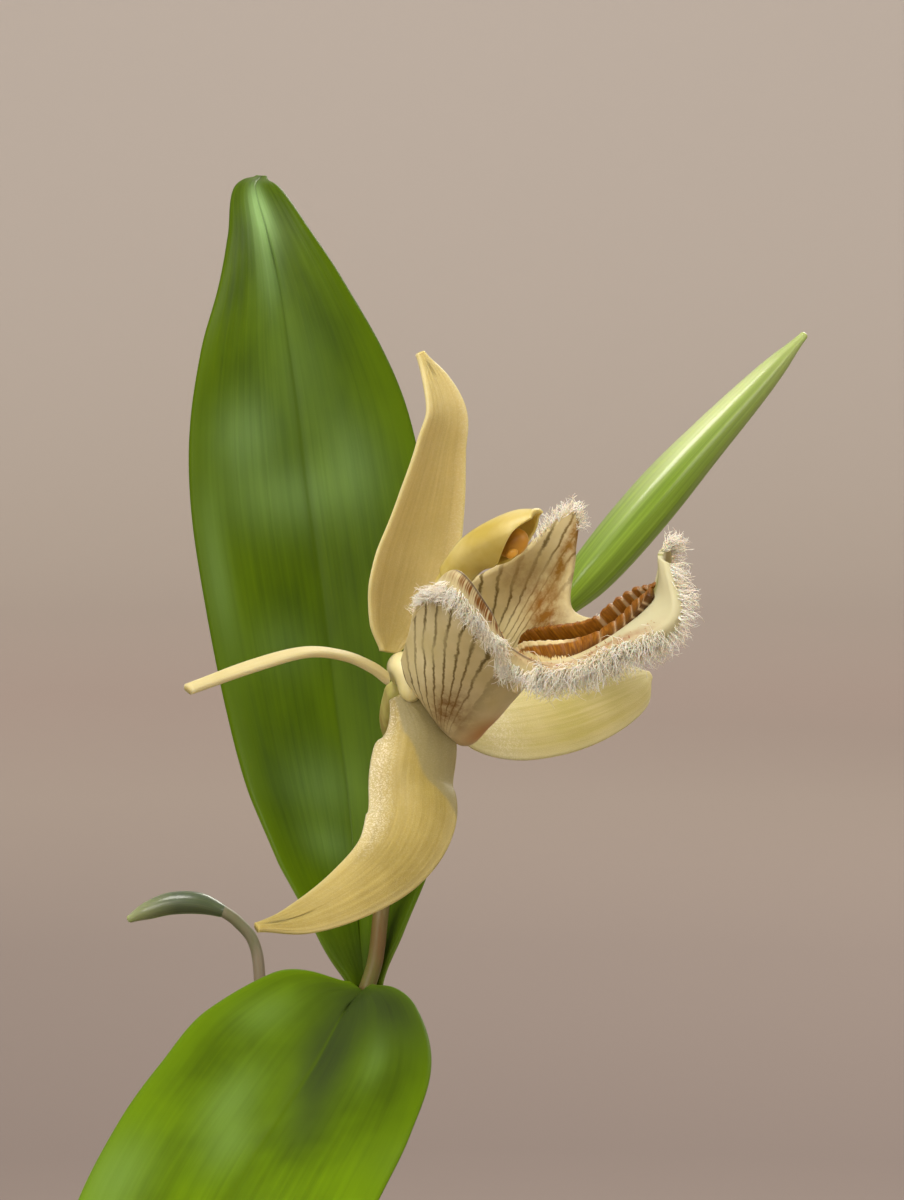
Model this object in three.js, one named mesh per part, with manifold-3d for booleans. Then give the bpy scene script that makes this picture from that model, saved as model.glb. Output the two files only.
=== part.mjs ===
// A small orchid with fringed flowers in a clay pot of bark, one of its growths in bloom.
// Millimetres, +Z up, +X to the right and +Y to the back as the flower is looked at.
// The origin is the centre of the pot's foot.
import * as THREE from "three";
import { mergeVertices } from "three/addons/utils/BufferGeometryUtils.js";
import Module from "manifold-3d";

const wasm = await Module();
wasm.setup();

// Driving dimensions of the pot
const POT_HEIGHT = 85;
const RIM_RADIUS = 48;
const RIM_DEPTH = 15;
const RIM_STEP = 2.6;
const FOOT_RADIUS = 32;
const WALL = 3.6;
const FLOOR = 5;
const DRAIN_RADIUS = 3.5;
const DRAIN_CIRCLE = 17;
const DRAIN_COUNT = 4;

// Driving dimensions of the bark and of what creeps over it
const BARK_TOP = 81;
const CHIP = { length: 10, width: 6.5, height: 2.8, count: 36 };
const RHIZOME_RADIUS = 1.9;
const RHIZOME_HEIGHT = BARK_TOP + 3.2;
const ROOT_RADIUS = 0.9;

// Driving dimensions of the plant
const FLOWER_CENTRE = [2.3, -8.3, 150.6];
const FLOWER_TURN = { yaw: -35, pitch: 30, roll: 16 };
const LEAF_THICKNESS = 0.8;
const PETAL_THICKNESS = 0.6;
const STEM_RADIUS = 0.6;
const BULB_RADIUS = 5.2;
const SCALE_WRAP = 150;
const SCALE_TURN = 115;
const SCALE_REACH = 0.46;
const BARK_CLEAR_OF_BULBS = 2.6;
const GAP = 0.3;

const UP = new THREE.Vector3(0, 0, 1);
const BACK = new THREE.Vector3(0, 1, 0);
const degrees = THREE.MathUtils.degToRad;
const at = ([x, y, z]) => new THREE.Vector3(x, y, z);
const route = (points) => new THREE.CatmullRomCurve3(points.map(at), false, "catmullrom", 0.5);

// A value that runs smoothly through evenly spaced stations.
function graded(values) {
  const line = new THREE.SplineCurve(values.map((value, i) => new THREE.Vector2(i, value)));
  return (t) => line.getPoint(t).y;
}

// A seeded draw between 0 and 1, the same on every run.
function draws(seed) {
  let state = seed;
  return () => {
    state = (state * 16807) % 2147483647;
    return state / 2147483647;
  };
}

// Closes a list of points and triangles into a geometry whose faces look outwards.
function closed(points, faces) {
  let volume = 0;
  for (const [a, b, c] of faces) {
    volume += points[a].dot(new THREE.Vector3().crossVectors(points[b], points[c]));
  }
  const turned = volume < 0 ? faces.map(([a, b, c]) => [a, c, b]) : faces;
  const geometry = new THREE.BufferGeometry().setFromPoints(points);
  return geometry.setIndex(turned.flat());
}

// A thin solid of even thickness round the surface(u, v), with u in 0..1 and v in -1..1.
function sheetSolid(surface, rows, columns, thickness) {
  const points = [];
  const faces = [];
  const step = 1e-3;
  for (const side of [0.5, -0.5]) {
    for (let i = 0; i <= rows; i++) {
      for (let j = 0; j <= columns; j++) {
        const u = THREE.MathUtils.clamp(i / rows, step, 1 - step);
        const v = THREE.MathUtils.clamp((2 * j) / columns - 1, step - 1, 1 - step);
        const along = surface(u + step, v).sub(surface(u - step, v));
        const across = surface(u, v + step).sub(surface(u, v - step));
        const normal = along.cross(across).normalize();
        points.push(surface(u, v).addScaledVector(normal, side * thickness));
      }
    }
  }
  const width = columns + 1;
  const back = (rows + 1) * width;
  for (let i = 0; i < rows; i++) {
    for (let j = 0; j < columns; j++) {
      const a = i * width + j;
      const [b, c, d] = [a + 1, a + width + 1, a + width];
      faces.push([a, b, c], [a, c, d]);
      faces.push([back + a, back + c, back + b], [back + a, back + d, back + c]);
    }
  }
  const rim = [];
  for (let j = 0; j < columns; j++) rim.push(j);
  for (let i = 0; i < rows; i++) rim.push(i * width + columns);
  for (let j = columns; j > 0; j--) rim.push(rows * width + j);
  for (let i = rows; i > 0; i--) rim.push(i * width);
  rim.forEach((a, k) => {
    const b = rim[(k + 1) % rim.length];
    faces.push([a, back + a, back + b], [a, back + b, b]);
  });
  return closed(points, faces);
}

// The middle surface of a leaf, sepal or petal. facing is the way its inner face looks, half its
// half-widths, fold how far its sides rise from the midrib, and cup how far they curl, both as
// shares of the half-width. hem bends the side of negative v, past crease, off the inner face.
// Each list is a run of values from base to tip.
function blade({ spine, facing, half, fold = [0], cup = [0], hem = [0], crease = [1] }) {
  const middle = route(spine);
  const face = route(facing);
  const [width, rise, curl, drop, start] = [half, fold, cup, hem, crease].map(graded);
  return (u, v) => {
    const along = middle.getTangent(u);
    const across = new THREE.Vector3().crossVectors(along, face.getPoint(u)).normalize();
    const normal = new THREE.Vector3().crossVectors(across, along);
    const past = Math.max(0, -v - start(u));
    const lift = rise(u) * Math.abs(v) + curl(u) * v * v - drop(u) * past;
    const point = middle.getPoint(u).addScaledVector(across, v * width(u));
    return point.addScaledVector(normal, lift * width(u));
  };
}

// A solid stem or swelling round a curve. radius gives its radii, flat its height as a share
// of its width, and ribs the number and depth of the grooves along it.
function stem({ curve, radius, reference = BACK, steps, sides, flat = [1], ribs = [0, 0] }) {
  const [size, height] = [graded(radius), graded(flat)];
  const points = [];
  const faces = [];
  for (let i = 0; i <= steps; i++) {
    const u = i / steps;
    const along = curve.getTangent(u);
    const across = new THREE.Vector3().crossVectors(along, reference).normalize();
    const normal = new THREE.Vector3().crossVectors(across, along);
    for (let j = 0; j < sides; j++) {
      const angle = (2 * Math.PI * j) / sides;
      const r = size(u) * (1 + ribs[1] * Math.cos(ribs[0] * angle));
      const point = curve.getPoint(u).addScaledVector(across, r * Math.cos(angle));
      points.push(point.addScaledVector(normal, r * height(u) * Math.sin(angle)));
    }
  }
  points.push(curve.getPoint(0), curve.getPoint(1));
  const last = steps * sides;
  for (let j = 0; j < sides; j++) {
    const next = (j + 1) % sides;
    for (let i = 0; i < last; i += sides) {
      faces.push([i + j, i + next, i + sides + next], [i + j, i + sides + next, i + sides + j]);
    }
    faces.push([points.length - 2, next, j], [points.length - 1, last + j, last + next]);
  }
  return closed(points, faces);
}

// Turns a closed geometry into a solid that can be joined and cut, and back.
function solid(geometry, matrix = new THREE.Matrix4()) {
  const bare = geometry.clone().applyMatrix4(matrix);
  bare.deleteAttribute("normal");
  bare.deleteAttribute("uv");
  const merged = mergeVertices(bare, 1e-4);
  const vertProperties = merged.attributes.position.array;
  const triVerts = new Uint32Array(merged.index.array);
  return new wasm.Manifold(new wasm.Mesh({ numProp: 3, vertProperties, triVerts }));
}

function shape(body) {
  const bodies = body.decompose();
  const whole = bodies.reduce((most, one) => (one.volume() > most.volume() ? one : most));
  const { vertProperties, triVerts } = whole.getMesh();
  const geometry = new THREE.BufferGeometry();
  geometry.setAttribute("position", new THREE.BufferAttribute(vertProperties, 3));
  return geometry.setIndex(new THREE.BufferAttribute(triVerts, 1));
}

const material = (color, roughness) =>
  new THREE.MeshStandardMaterial({ color, roughness, metalness: 0 });
const TERRACOTTA = material("#b5643c", 0.9);
const BARK = material("#6b4a32", 0.95);
const RHIZOME = material("#6f6a35", 0.7);
const ROOT = material("#b9b59a", 0.8);
const BULB = material("#6d8b2c", 0.5);
const SCALE = material("#a58a5c", 0.8);
const LEAF = material("#5a7a08", 0.35);
const STALK = material("#7d7440", 0.6);
const BRACT = material("#8fa83a", 0.4);
const SEPAL = material("#c8b060", 0.5);
const PETAL = material("#d9cb8e", 0.5);
const LIP = material("#b89e63", 0.55);
const COLUMN = material("#cdb04a", 0.45);
const ANTHER = material("#c98a28", 0.5);

const root = new THREE.Group();

function add(name, geometry, look, parent = root) {
  const mesh = new THREE.Mesh(geometry, look);
  mesh.name = name;
  parent.add(mesh);
}

// The clay pot, turned, with a stepped rim and a ring of drain holes
const INNER_FLOOR_RADIUS = FOOT_RADIUS - WALL;
const BELOW_RIM = POT_HEIGHT - RIM_DEPTH;
const INNER_RIM_RADIUS = RIM_RADIUS - WALL - 1;
const ROUND = 1.1;

function potProfile() {
  return [
    [0, 0],
    [FOOT_RADIUS - ROUND, 0],
    [FOOT_RADIUS, ROUND],
    [RIM_RADIUS - RIM_STEP, BELOW_RIM],
    [RIM_RADIUS - ROUND, BELOW_RIM + 0.4],
    [RIM_RADIUS - 0.4, BELOW_RIM + 2],
    [RIM_RADIUS, POT_HEIGHT - ROUND],
    [RIM_RADIUS - ROUND, POT_HEIGHT],
    [INNER_RIM_RADIUS + ROUND, POT_HEIGHT],
    [INNER_RIM_RADIUS, POT_HEIGHT - ROUND],
    [INNER_FLOOR_RADIUS, FLOOR],
    [0, FLOOR],
  ].map(([r, z]) => new THREE.Vector2(r, z));
}

function turned(profile, segments) {
  return new THREE.LatheGeometry(profile, segments).rotateX(Math.PI / 2);
}

function pot() {
  let body = solid(turned(potProfile(), 40));
  const drill = new THREE.CylinderGeometry(DRAIN_RADIUS, DRAIN_RADIUS, 3 * FLOOR, 12);
  drill.rotateX(Math.PI / 2);
  for (let i = 0; i < DRAIN_COUNT; i++) {
    const angle = ((i + 0.5) / DRAIN_COUNT) * 2 * Math.PI;
    const place = new THREE.Matrix4().makeTranslation(
      DRAIN_CIRCLE * Math.cos(angle),
      DRAIN_CIRCLE * Math.sin(angle),
      FLOOR / 2,
    );
    body = body.subtract(solid(drill, place));
  }
  return shape(body);
}

// The creeping rhizome: it turns round the pot from growth to growth and climbs to the last one.
const LAST_BASE = [-12.6, 1.9, 90.6];
const rhizomePath = route([
  [20, -33, RHIZOME_HEIGHT - 2],
  [16, -25, RHIZOME_HEIGHT],
  [25, -15, RHIZOME_HEIGHT],
  [27, -3, RHIZOME_HEIGHT],
  [18, 12, RHIZOME_HEIGHT],
  [3, 19, RHIZOME_HEIGHT],
  [-10, 19, RHIZOME_HEIGHT],
  [-22, 12, RHIZOME_HEIGHT],
  [-29, 0, RHIZOME_HEIGHT],
  [-24, -7, RHIZOME_HEIGHT + 1],
  [-16, -3, RHIZOME_HEIGHT + 3.5],
  [LAST_BASE[0], LAST_BASE[1], LAST_BASE[2] - RHIZOME_RADIUS - GAP],
]);

function rhizomeSolid(extra) {
  const end = 0.4 * RHIZOME_RADIUS + extra;
  const girth = RHIZOME_RADIUS + extra;
  const radius = [end, girth, girth, girth, girth, girth, girth, girth, girth];
  return stem({ curve: rhizomePath, radius, reference: UP, steps: 36, sides: 7 });
}

// Each growth: a swollen stem on the rhizome, from base to apex, with the radius of its middle.
const GROWTHS = {
  bloom: { base: LAST_BASE, apex: [-1.5, 1.9, 124.6], radius: BULB_RADIUS },
  second: { base: [-8, 19.5, 86.6], apex: [-11.4, 33.2, 99], radius: 4.6 },
  left: { base: [-28.5, 0.5, 86.6], apex: [-35, 3, 108], radius: BULB_RADIUS },
  right: { base: [26.5, -3.5, 86.6], apex: [36, -2, 105], radius: BULB_RADIUS },
  old: { base: [16.5, -25, 86.6], apex: [19, -31, 104], radius: 4.8 },
};
const BULB_GIRTH = [0.5, 0.9, 1, 0.93, 0.75, 0.5, 0.4];

function bulbCurve({ base, apex }) {
  const [from, to] = [at(base), at(apex)];
  const middle = from.clone().lerp(to, 0.5);
  const sag = new THREE.Vector3(to.x - from.x, to.y - from.y, 0).multiplyScalar(0.12);
  return new THREE.CatmullRomCurve3([from, middle.add(sag), to], false, "catmullrom", 0.5);
}

function bulbSolid(growth, extra) {
  const radius = BULB_GIRTH.map((share) => share * growth.radius + extra);
  const curve = bulbCurve(growth);
  return stem({ curve, radius, steps: 9, sides: 14, ribs: [7, extra ? 0 : 0.05] });
}

// A papery scale wraps the foot of each growth and ends in a point at its back.
function scaleSolid(growth) {
  const curve = bulbCurve(growth);
  const girth = graded(BULB_GIRTH);
  const clear = PETAL_THICKNESS / 2 + 2 * GAP;
  const surface = (u, v) => {
    const t = 0.1 + u * SCALE_REACH * (1 - 0.5 * Math.abs(v));
    const along = curve.getTangent(t);
    const across = new THREE.Vector3().crossVectors(along, BACK).normalize();
    const normal = new THREE.Vector3().crossVectors(across, along);
    const angle = v * degrees(SCALE_WRAP) + degrees(SCALE_TURN);
    const r = girth(t) * growth.radius * 1.05 + clear + 0.8 * u * u;
    const point = curve.getPoint(t).addScaledVector(across, r * Math.cos(angle));
    return point.addScaledVector(normal, r * Math.sin(angle));
  };
  return sheetSolid(surface, 4, 10, PETAL_THICKNESS);
}

// Roots leave the rhizome, run over the bark for a while and go down into it.
const ROOTS = [
  { from: 0.1, heading: 250, run: 9 },
  { from: 0.24, heading: 200, run: 12 },
  { from: 0.33, heading: 40, run: 8 },
  { from: 0.44, heading: 215, run: 14 },
  { from: 0.52, heading: 80, run: 12 },
  { from: 0.62, heading: 290, run: 11 },
  { from: 0.72, heading: 150, run: 10 },
  { from: 0.83, heading: 235, run: 12 },
];
const ROOT_DEPTH = 9;

function rootSolid({ from, heading, run }, extra) {
  const start = rhizomePath.getPoint(from);
  const away = new THREE.Vector3(Math.cos(degrees(heading)), Math.sin(degrees(heading)), 0);
  const bend = new THREE.Vector3(-away.y, away.x, 0).multiplyScalar(0.12 * run);
  const place = (share, drop) => at([away.x * share * run, away.y * share * run, -drop]).add(start);
  const tip = [place(0.95, 4), place(1, ROOT_DEPTH)];
  const points = [start, place(0.35, 0.2), place(0.7, 1.4).add(bend), ...tip];
  const curve = new THREE.CatmullRomCurve3(points, false, "catmullrom", 0.5);
  const radius = [ROOT_RADIUS, ROOT_RADIUS, ROOT_RADIUS, 0.7 * ROOT_RADIUS].map((r) => r + extra);
  const reference = new THREE.Vector3(-away.y, away.x, 0);
  return stem({ curve, radius, reference, steps: 8, sides: 6 });
}

// The bark fills the pot, with loose chips of it on top, fused to the bed where they lie.
function barkSolid(keepClear) {
  const slope = (INNER_RIM_RADIUS - INNER_FLOOR_RADIUS) / (POT_HEIGHT - ROUND - FLOOR);
  const bottom = FLOOR + GAP;
  const edge = BARK_TOP - 3;
  const radiusAt = (z) => INNER_FLOOR_RADIUS + slope * (z - FLOOR) - 1.4 * GAP;
  const profile = [
    [0, bottom],
    [radiusAt(bottom), bottom],
    [radiusAt(edge), edge],
    [radiusAt(edge) - 7, BARK_TOP - 1],
    [0, BARK_TOP],
  ].map(([r, z]) => new THREE.Vector2(r, z));
  let bed = solid(turned(profile, 32));
  const draw = draws(7);
  const box = new THREE.BoxGeometry(CHIP.length, CHIP.width, CHIP.height);
  const farthest = radiusAt(edge) - 0.62 * CHIP.length;
  for (let i = 0; i < CHIP.count; i++) {
    const r = farthest * Math.sqrt((i + 0.5) / CHIP.count);
    const turn = i * Math.PI * (3 - Math.sqrt(5));
    const [leanX, leanY] = [0.5 * (draw() - 0.5), 0.5 * (draw() - 0.5)];
    const tilt = new THREE.Euler(leanX, leanY, 2 * Math.PI * draw(), "ZYX");
    const size = 0.7 + 0.45 * draw();
    const height = BARK_TOP + 0.1 - 2.2 * (r / farthest) ** 4 + draw();
    const place = new THREE.Matrix4().compose(
      new THREE.Vector3(r * Math.cos(turn), r * Math.sin(turn), height),
      new THREE.Quaternion().setFromEuler(tilt),
      new THREE.Vector3(size, size, size),
    );
    bed = bed.add(solid(box, place));
  }
  for (const piece of keepClear) bed = bed.subtract(solid(piece));
  return shape(bed);
}

// Leaves. The two of the growth in bloom are placed by hand; the others arch out by a rule.
const UPRIGHT_LEAF = {
  spine: [
    [-1.4, 3.2, 125.1], [-1.8, 5.0, 128.2], [-2.3, 8.4, 132.9], [-2.9, 12.1, 138.4],
    [-4.0, 15.7, 145.8], [-5.1, 18.4, 153.5], [-6.3, 20.1, 161.3], [-7.1, 21.6, 167.6],
    [-7.9, 23.1, 173.1], [-8.7, 25.1, 177.9], [-9.8, 27.6, 182.4], [-10.9, 31.0, 186.0],
    [-10.6, 34.0, 187.2],
  ],
  facing: [[0.1, -1, 0.4], [0.05, -1, 0.2], [0.1, -1, 0.3], [0, -0.7, 1]],
  half: [1.2, 3.3, 5.9, 7.6, 8.6, 9.2, 9.3, 8.7, 7.2, 5.2, 3.3, 1.9, 0.5],
  fold: [0.75, 0.35, 0.18, 0.12, 0.12, 0.12],
  cup: [0.2, -0.02, -0.06, -0.04],
};
const LOWER_LEAF = {
  spine: [
    [-1.5, 0.6, 125.3], [-2.9, -2.4, 124.2], [-4.7, -7.6, 121.8], [-6.9, -13.7, 119.3],
    [-9, -19.9, 117], [-11.3, -26.5, 113.6], [-13.2, -33.2, 109.0], [-15.3, -39.6, 103.2],
    [-17.6, -45.3, 96.4], [-19.8, -50, 89],
  ],
  facing: [[0.2, 0.4, 1], [0.1, -0.35, 0.94], [0.08, -0.4, 0.9], [0.1, -0.6, 0.8], [0.2, -0.8, 0.6]],
  half: [1.2, 5.6, 8.7, 9.5, 9.7, 9.5, 8.8, 7.2, 4.6, 0.5],
  fold: [0.7, 0.32, 0.2, 0.15, 0.12, 0.1, 0.1, 0.1],
  cup: [0.1, 0, -0.08, -0.1],
};
const LEAF_HALF = [1, 4.2, 7.4, 9, 9.2, 8.3, 6.2, 3.4, 0.5];

// The rule: a leaf leaves its growth towards heading, rises at the angle from, and bends over
// evenly to the angle to at its tip.
function archedLeaf({ base, heading, length, from, to, width = 1 }) {
  const steps = LEAF_HALF.length - 1;
  const out = new THREE.Vector3(Math.cos(degrees(heading)), Math.sin(degrees(heading)), 0);
  const spine = [base];
  const facing = [];
  for (let i = 0; i <= steps; i++) {
    const angle = degrees(from + ((to - from) * i) / steps);
    const step = out.clone().multiplyScalar(Math.cos(angle)).addScaledVector(UP, Math.sin(angle));
    const face = out.clone().multiplyScalar(-Math.sin(angle)).addScaledVector(UP, Math.cos(angle));
    facing.push(face.toArray());
    spine.push(at(spine[i]).addScaledVector(step, length / steps).toArray());
  }
  spine.pop();
  const half = LEAF_HALF.map((value) => value * width);
  return { spine, facing, half, fold: [0.75, 0.3, 0.16, 0.12, 0.12], cup: [0.1, -0.05, -0.05] };
}

// A leaf base stands on its growth's apex, beside the middle, on the side that it heads for.
const SEAT_OUT = 2;
const SEAT_LIFT = GAP + LEAF_THICKNESS / 2;

function seat(growth, heading) {
  const axis = bulbCurve(growth).getTangent(1);
  const side = new THREE.Vector3(Math.cos(degrees(heading)), Math.sin(degrees(heading)), 0);
  side.addScaledVector(axis, -side.dot(axis)).normalize();
  return at(growth.apex).addScaledVector(axis, SEAT_LIFT).addScaledVector(side, SEAT_OUT).toArray();
}

const ARCHED_LEAVES = {
  leaf_second_back: [GROWTHS.second, { heading: 92, length: 52, from: 34, to: -62, width: 0.95 }],
  leaf_second_side: [GROWTHS.second, { heading: 196, length: 46, from: -6, to: -42, width: 0.85 }],
  leaf_left_high: [GROWTHS.left, { heading: 158, length: 62, from: 72, to: 2 }],
  leaf_left_low: [GROWTHS.left, { heading: 250, length: 56, from: 44, to: -44, width: 0.9 }],
  leaf_right_high: [GROWTHS.right, { heading: 8, length: 60, from: 44, to: 6 }],
  leaf_right_low: [GROWTHS.right, { heading: -88, length: 54, from: 12, to: -46, width: 0.9 }],
};

// The stem of the bloom climbs between the two leaves, behind the flower, and on to the next bud.
const STALK_PATH = [
  [-1.4, 1.9, 125.1], [-0.6, 2.1, 127.7], [-0.2, 2.4, 131.1], [0.2, 3.2, 134.4],
  [1.1, 4.0, 138.0], [2.4, 5.3, 141.3], [4.6, 5.6, 145.1], [8.0, 5.0, 149.0],
  [12.0, 4.4, 152.8],
];
const NEXT_BRACT_PATH = [
  [12.4, 4.3, 153], [16.5, 5.2, 157.6], [22.7, 7.3, 164.6], [28.9, 10.4, 171],
  [32.4, 12.3, 174.6],
];
const SECOND_STALK_PATH = [
  [-10.9, 32.4, 100.6], [-10.8, 31.8, 106], [-10.8, 31.5, 113], [-10.9, 31.6, 120.3],
  [-11.4, 31.9, 123.5], [-12.8, 32, 125.3], [-14.2, 32.1, 126.3],
];
const SECOND_BUD_PATH = [
  [-14.5, 32.1, 126.5], [-16.2, 32.1, 126.9], [-18.3, 32.1, 126.8], [-20.3, 32, 126.2],
  [-22, 32, 125.4],
];
const OVARY_PATH = [
  [2.2, 4.3, 142.2], [1.4, 1.6, 143.3], [0.8, -3, 146.2], [1.4, -6.3, 149.6],
];

// Sepals and petals, as offsets from the flower's centre
const DORSAL_SEPAL = {
  spine: [
    [-1.7, 0.4, 1.4], [-1.5, 0.7, 3.0], [-0.9, 1.0, 5.2], [-0.3, 1.0, 7.5],
    [0.3, 0.8, 10.0], [1.1, 0, 13.2], [1.8, -0.8, 16.2], [2.3, -1.3, 18.6],
    [1.7, -1.1, 20.9], [0.6, -0.4, 22.9],
  ],
  facing: [[0.55, -0.75, 0.35], [0.5, -0.8, 0.3], [0.5, -0.8, 0.2], [0.4, -0.8, 0.4]],
  half: [0.8, 2.1, 3.1, 3.4, 3.2, 2.7, 2.1, 1.7, 1.1, 0.35],
  cup: [0.3, 0.35, 0.35, 0.25, 0.1],
};
const NEAR_SEPAL = {
  spine: [
    [-0.8, -0.8, -1.6], [0.3, -2.4, -4.0], [0, -4.6, -6.9], [0, -7, -9.5],
    [-1.3, -9.7, -11.9], [-4.2, -12.4, -13.9], [-7.5, -14.5, -15.3], [-10.4, -16.1, -15.7],
  ],
  facing: [[0, -1, 0.1], [0, -1, 0.1], [0.1, -0.8, 0.5], [0.1, -0.5, 0.8]],
  half: [0.9, 2.7, 3, 3.1, 2.6, 2, 1.3, 0.35],
  cup: [-0.2, -0.3, -0.25, -0.1],
  hem: [1.2, 1.2, 0.8, 0.2, 0, 0],
  crease: [-0.5, -0.2, 0.4, 0.9, 1],
};
const FAR_SEPAL = {
  spine: [
    [1.2, 1.5, -1.7], [3, 4.9, -3.5], [6.4, 8.9, -4.6], [10.4, 12.1, -4.4],
    [14.1, 15.1, -3.6], [17, 18.2, -2.8], [18.2, 21.6, -2.6],
  ],
  facing: [[0.3, -0.7, 0.6], [0.2, -0.75, 0.6], [0.3, -0.8, 0.5], [0.6, -0.7, 0.4]],
  half: [0.9, 2.6, 3.1, 3.2, 2.9, 2, 0.35],
  cup: [0.1, -0.2, -0.25, -0.1],
};
const NEAR_PETAL = {
  spine: [
    [-1.8, -1.2, -0.3], [-2.9, -2.2, 0.6], [-4.8, -4, 1.6], [-7.4, -6.5, 2.1],
    [-10.8, -9.6, 1.5], [-15.1, -13.7, 0.3],
  ],
  facing: [[0.2, -0.6, 0.8], [0.1, -0.5, 0.85], [0.1, -0.5, 0.85]],
  half: [0.6, 0.6, 0.5, 0.5, 0.55, 0.45],
};
const FAR_PETAL = {
  spine: [
    [0, 2.3, 0.8], [-0.1, 5.5, 2.2], [0, 9.7, 4.4], [0.4, 13.5, 7.2],
    [1, 16.8, 10.2], [1.5, 19.6, 13.5],
  ],
  facing: [[0.6, -0.3, 0.8], [0.7, -0.5, 0.6], [0.7, -0.5, 0.5]],
  half: [0.6, 0.6, 0.5, 0.5, 0.55, 0.45],
};

// The lip, in the flower's own frame: +X out of its mouth, +Y to its left, +Z to its top sepal.
// Its five runs go from its base to its tip: both edges, both walls and the floor. Each edge
// rises to the point of a side lobe at the fourth place and falls to the waist at the sixth.
const LIP_RUNS = [
  [
    [1, -1.6, 1.2], [5, -3.2, 3.2], [9, -5.8, 3.8], [12.9, -8, 4.3], [12.6, -6.9, 1.2],
    [11, -4.7, -2.1], [13.6, -4.7, -5], [17.8, -4.4, -5.6], [21.9, -2.8, -6.1], [22.7, -0.5, -2.8],
  ],
  [
    [0.4, -1.6, -0.4], [2.3, -3.3, -1.4], [5.2, -4.5, -1.2], [8.4, -5.5, -0.6], [9.6, -4.9, -1.6],
    [9.8, -3.4, -3.2], [13.2, -2.7, -5], [17.6, -2.4, -5.3], [21.3, -1.6, -5], [22.5, -0.3, -2.5],
  ],
  [
    [-0.2, 0, -1.9], [0.3, 0, -6.2], [3, 0, -6.1], [5.8, 0, -5.4], [8, 0, -4.9],
    [10.2, 0, -4.9], [13.6, 0, -5.4], [17.6, 0, -5.3], [20.8, 0, -4.2], [22.4, 0, -2.3],
  ],
  [
    [0.2, 1.7, -0.4], [2.3, 3.3, -1.4], [5.2, 4.5, -1.2], [8.4, 5.5, -0.8], [9.6, 4.9, -1.8],
    [9.8, 3.4, -3.3], [13.2, 2.6, -4.9], [17.6, 2.2, -5], [21, 1.2, -3.4], [22.4, 0.3, -2.2],
  ],
  [
    [0.9, 1.7, 1.2], [5, 3.2, 3.2], [9, 5.6, 3.4], [13.4, 8, 3], [12.3, 6.9, 0.6],
    [10.9, 4.7, -2.5], [13.6, 4.4, -4.6], [17.8, 3.8, -4.6], [21.3, 2, -2.6], [22.3, 0.5, -2.2],
  ],
];

function lipSurface() {
  const runs = LIP_RUNS.map(route);
  return (u, v) => {
    const across = runs.map((run) => run.getPoint(u));
    return new THREE.CatmullRomCurve3(across, false, "catmullrom", 0.5).getPoint((v + 1) / 2);
  };
}

// Two wavy keels stand on the lip's floor from inside its throat to near its tip.
const KEEL = { from: 0.4, to: 0.9, height: 1.9, apart: 0.85, waves: 7, sway: 0.125, thickness: 0.7 };

function keelSolid(side) {
  const floor = route(LIP_RUNS[2]);
  const surface = (u, v) => {
    const point = floor.getPoint(KEEL.from + u * (KEEL.to - KEEL.from));
    const crest = KEEL.height * Math.sin(Math.PI * (0.08 + 0.86 * u)) ** 0.6;
    const wave = KEEL.sway * Math.sin(2 * Math.PI * KEEL.waves * u) * (v + 1);
    const apart = side * (KEEL.apart - 0.25 * u);
    return point.add(at([0, apart + wave, 0.1 + (crest * (v + 1)) / 2]));
  };
  return sheetSolid(surface, 14, 2, KEEL.thickness);
}

function lipSolid() {
  const blank = solid(sheetSolid(lipSurface(), 27, 10, PETAL_THICKNESS));
  return shape(blank.add(solid(keelSolid(1))).add(solid(keelSolid(-1))));
}

// The column arches over the throat and ends in a hood over the anther.
const COLUMN_PATH = [
  [0.4, 0, 0.5], [3.5, 0, 2.2], [6.5, 0, 3.7], [9.5, 0, 4.7], [12.2, 0, 4.8], [14.4, 0, 4.3],
  [15.9, 0, 3.9],
];
const ANTHER_CENTRE = [14, 0, 3.1];
const ANTHER_SIZE = [1.5, 1.3, 1];

function columnSolid() {
  const radius = [0.9, 0.95, 1.05, 1.3, 1.65, 1.8, 0.8];
  const flat = [1, 1, 0.95, 0.75, 0.6, 0.5, 0.6];
  const body = stem({ curve: route(COLUMN_PATH), radius, flat, steps: 12, sides: 12 });
  const hollow = new THREE.SphereGeometry(1, 10, 7);
  const place = new THREE.Matrix4().compose(
    at(ANTHER_CENTRE),
    new THREE.Quaternion(),
    at(ANTHER_SIZE),
  );
  return shape(solid(body).subtract(solid(hollow, place)));
}

function antherGeometry() {
  const size = ANTHER_SIZE.map((value) => value - GAP);
  return new THREE.SphereGeometry(1, 10, 7).scale(...size).translate(...ANTHER_CENTRE);
}

// The whole object
const rhizome = rhizomeSolid(0);
const clearRhizome = rhizomeSolid(GAP);
add("pot", pot(), TERRACOTTA);
add("rhizome", rhizome, RHIZOME);

const clearBulbs = Object.values(GROWTHS).map((growth) => bulbSolid(growth, BARK_CLEAR_OF_BULBS));
for (const [name, growth] of Object.entries(GROWTHS)) {
  const bulb = solid(bulbSolid(growth, 0)).subtract(solid(clearRhizome));
  add("pseudobulb_" + name, shape(bulb), BULB);
  const scale = solid(scaleSolid(growth)).subtract(solid(clearRhizome));
  add("scale_" + name, shape(scale), SCALE);
}
ROOTS.forEach((each, i) => {
  let body = solid(rootSolid(each, 0));
  for (const piece of [clearRhizome, ...clearBulbs]) body = body.subtract(solid(piece));
  add("root_" + (i + 1), shape(body), ROOT);
});
const clearRoots = ROOTS.map((each) => rootSolid(each, GAP));
add("bark", barkSolid([clearRhizome, ...clearBulbs, ...clearRoots]), BARK);

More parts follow.
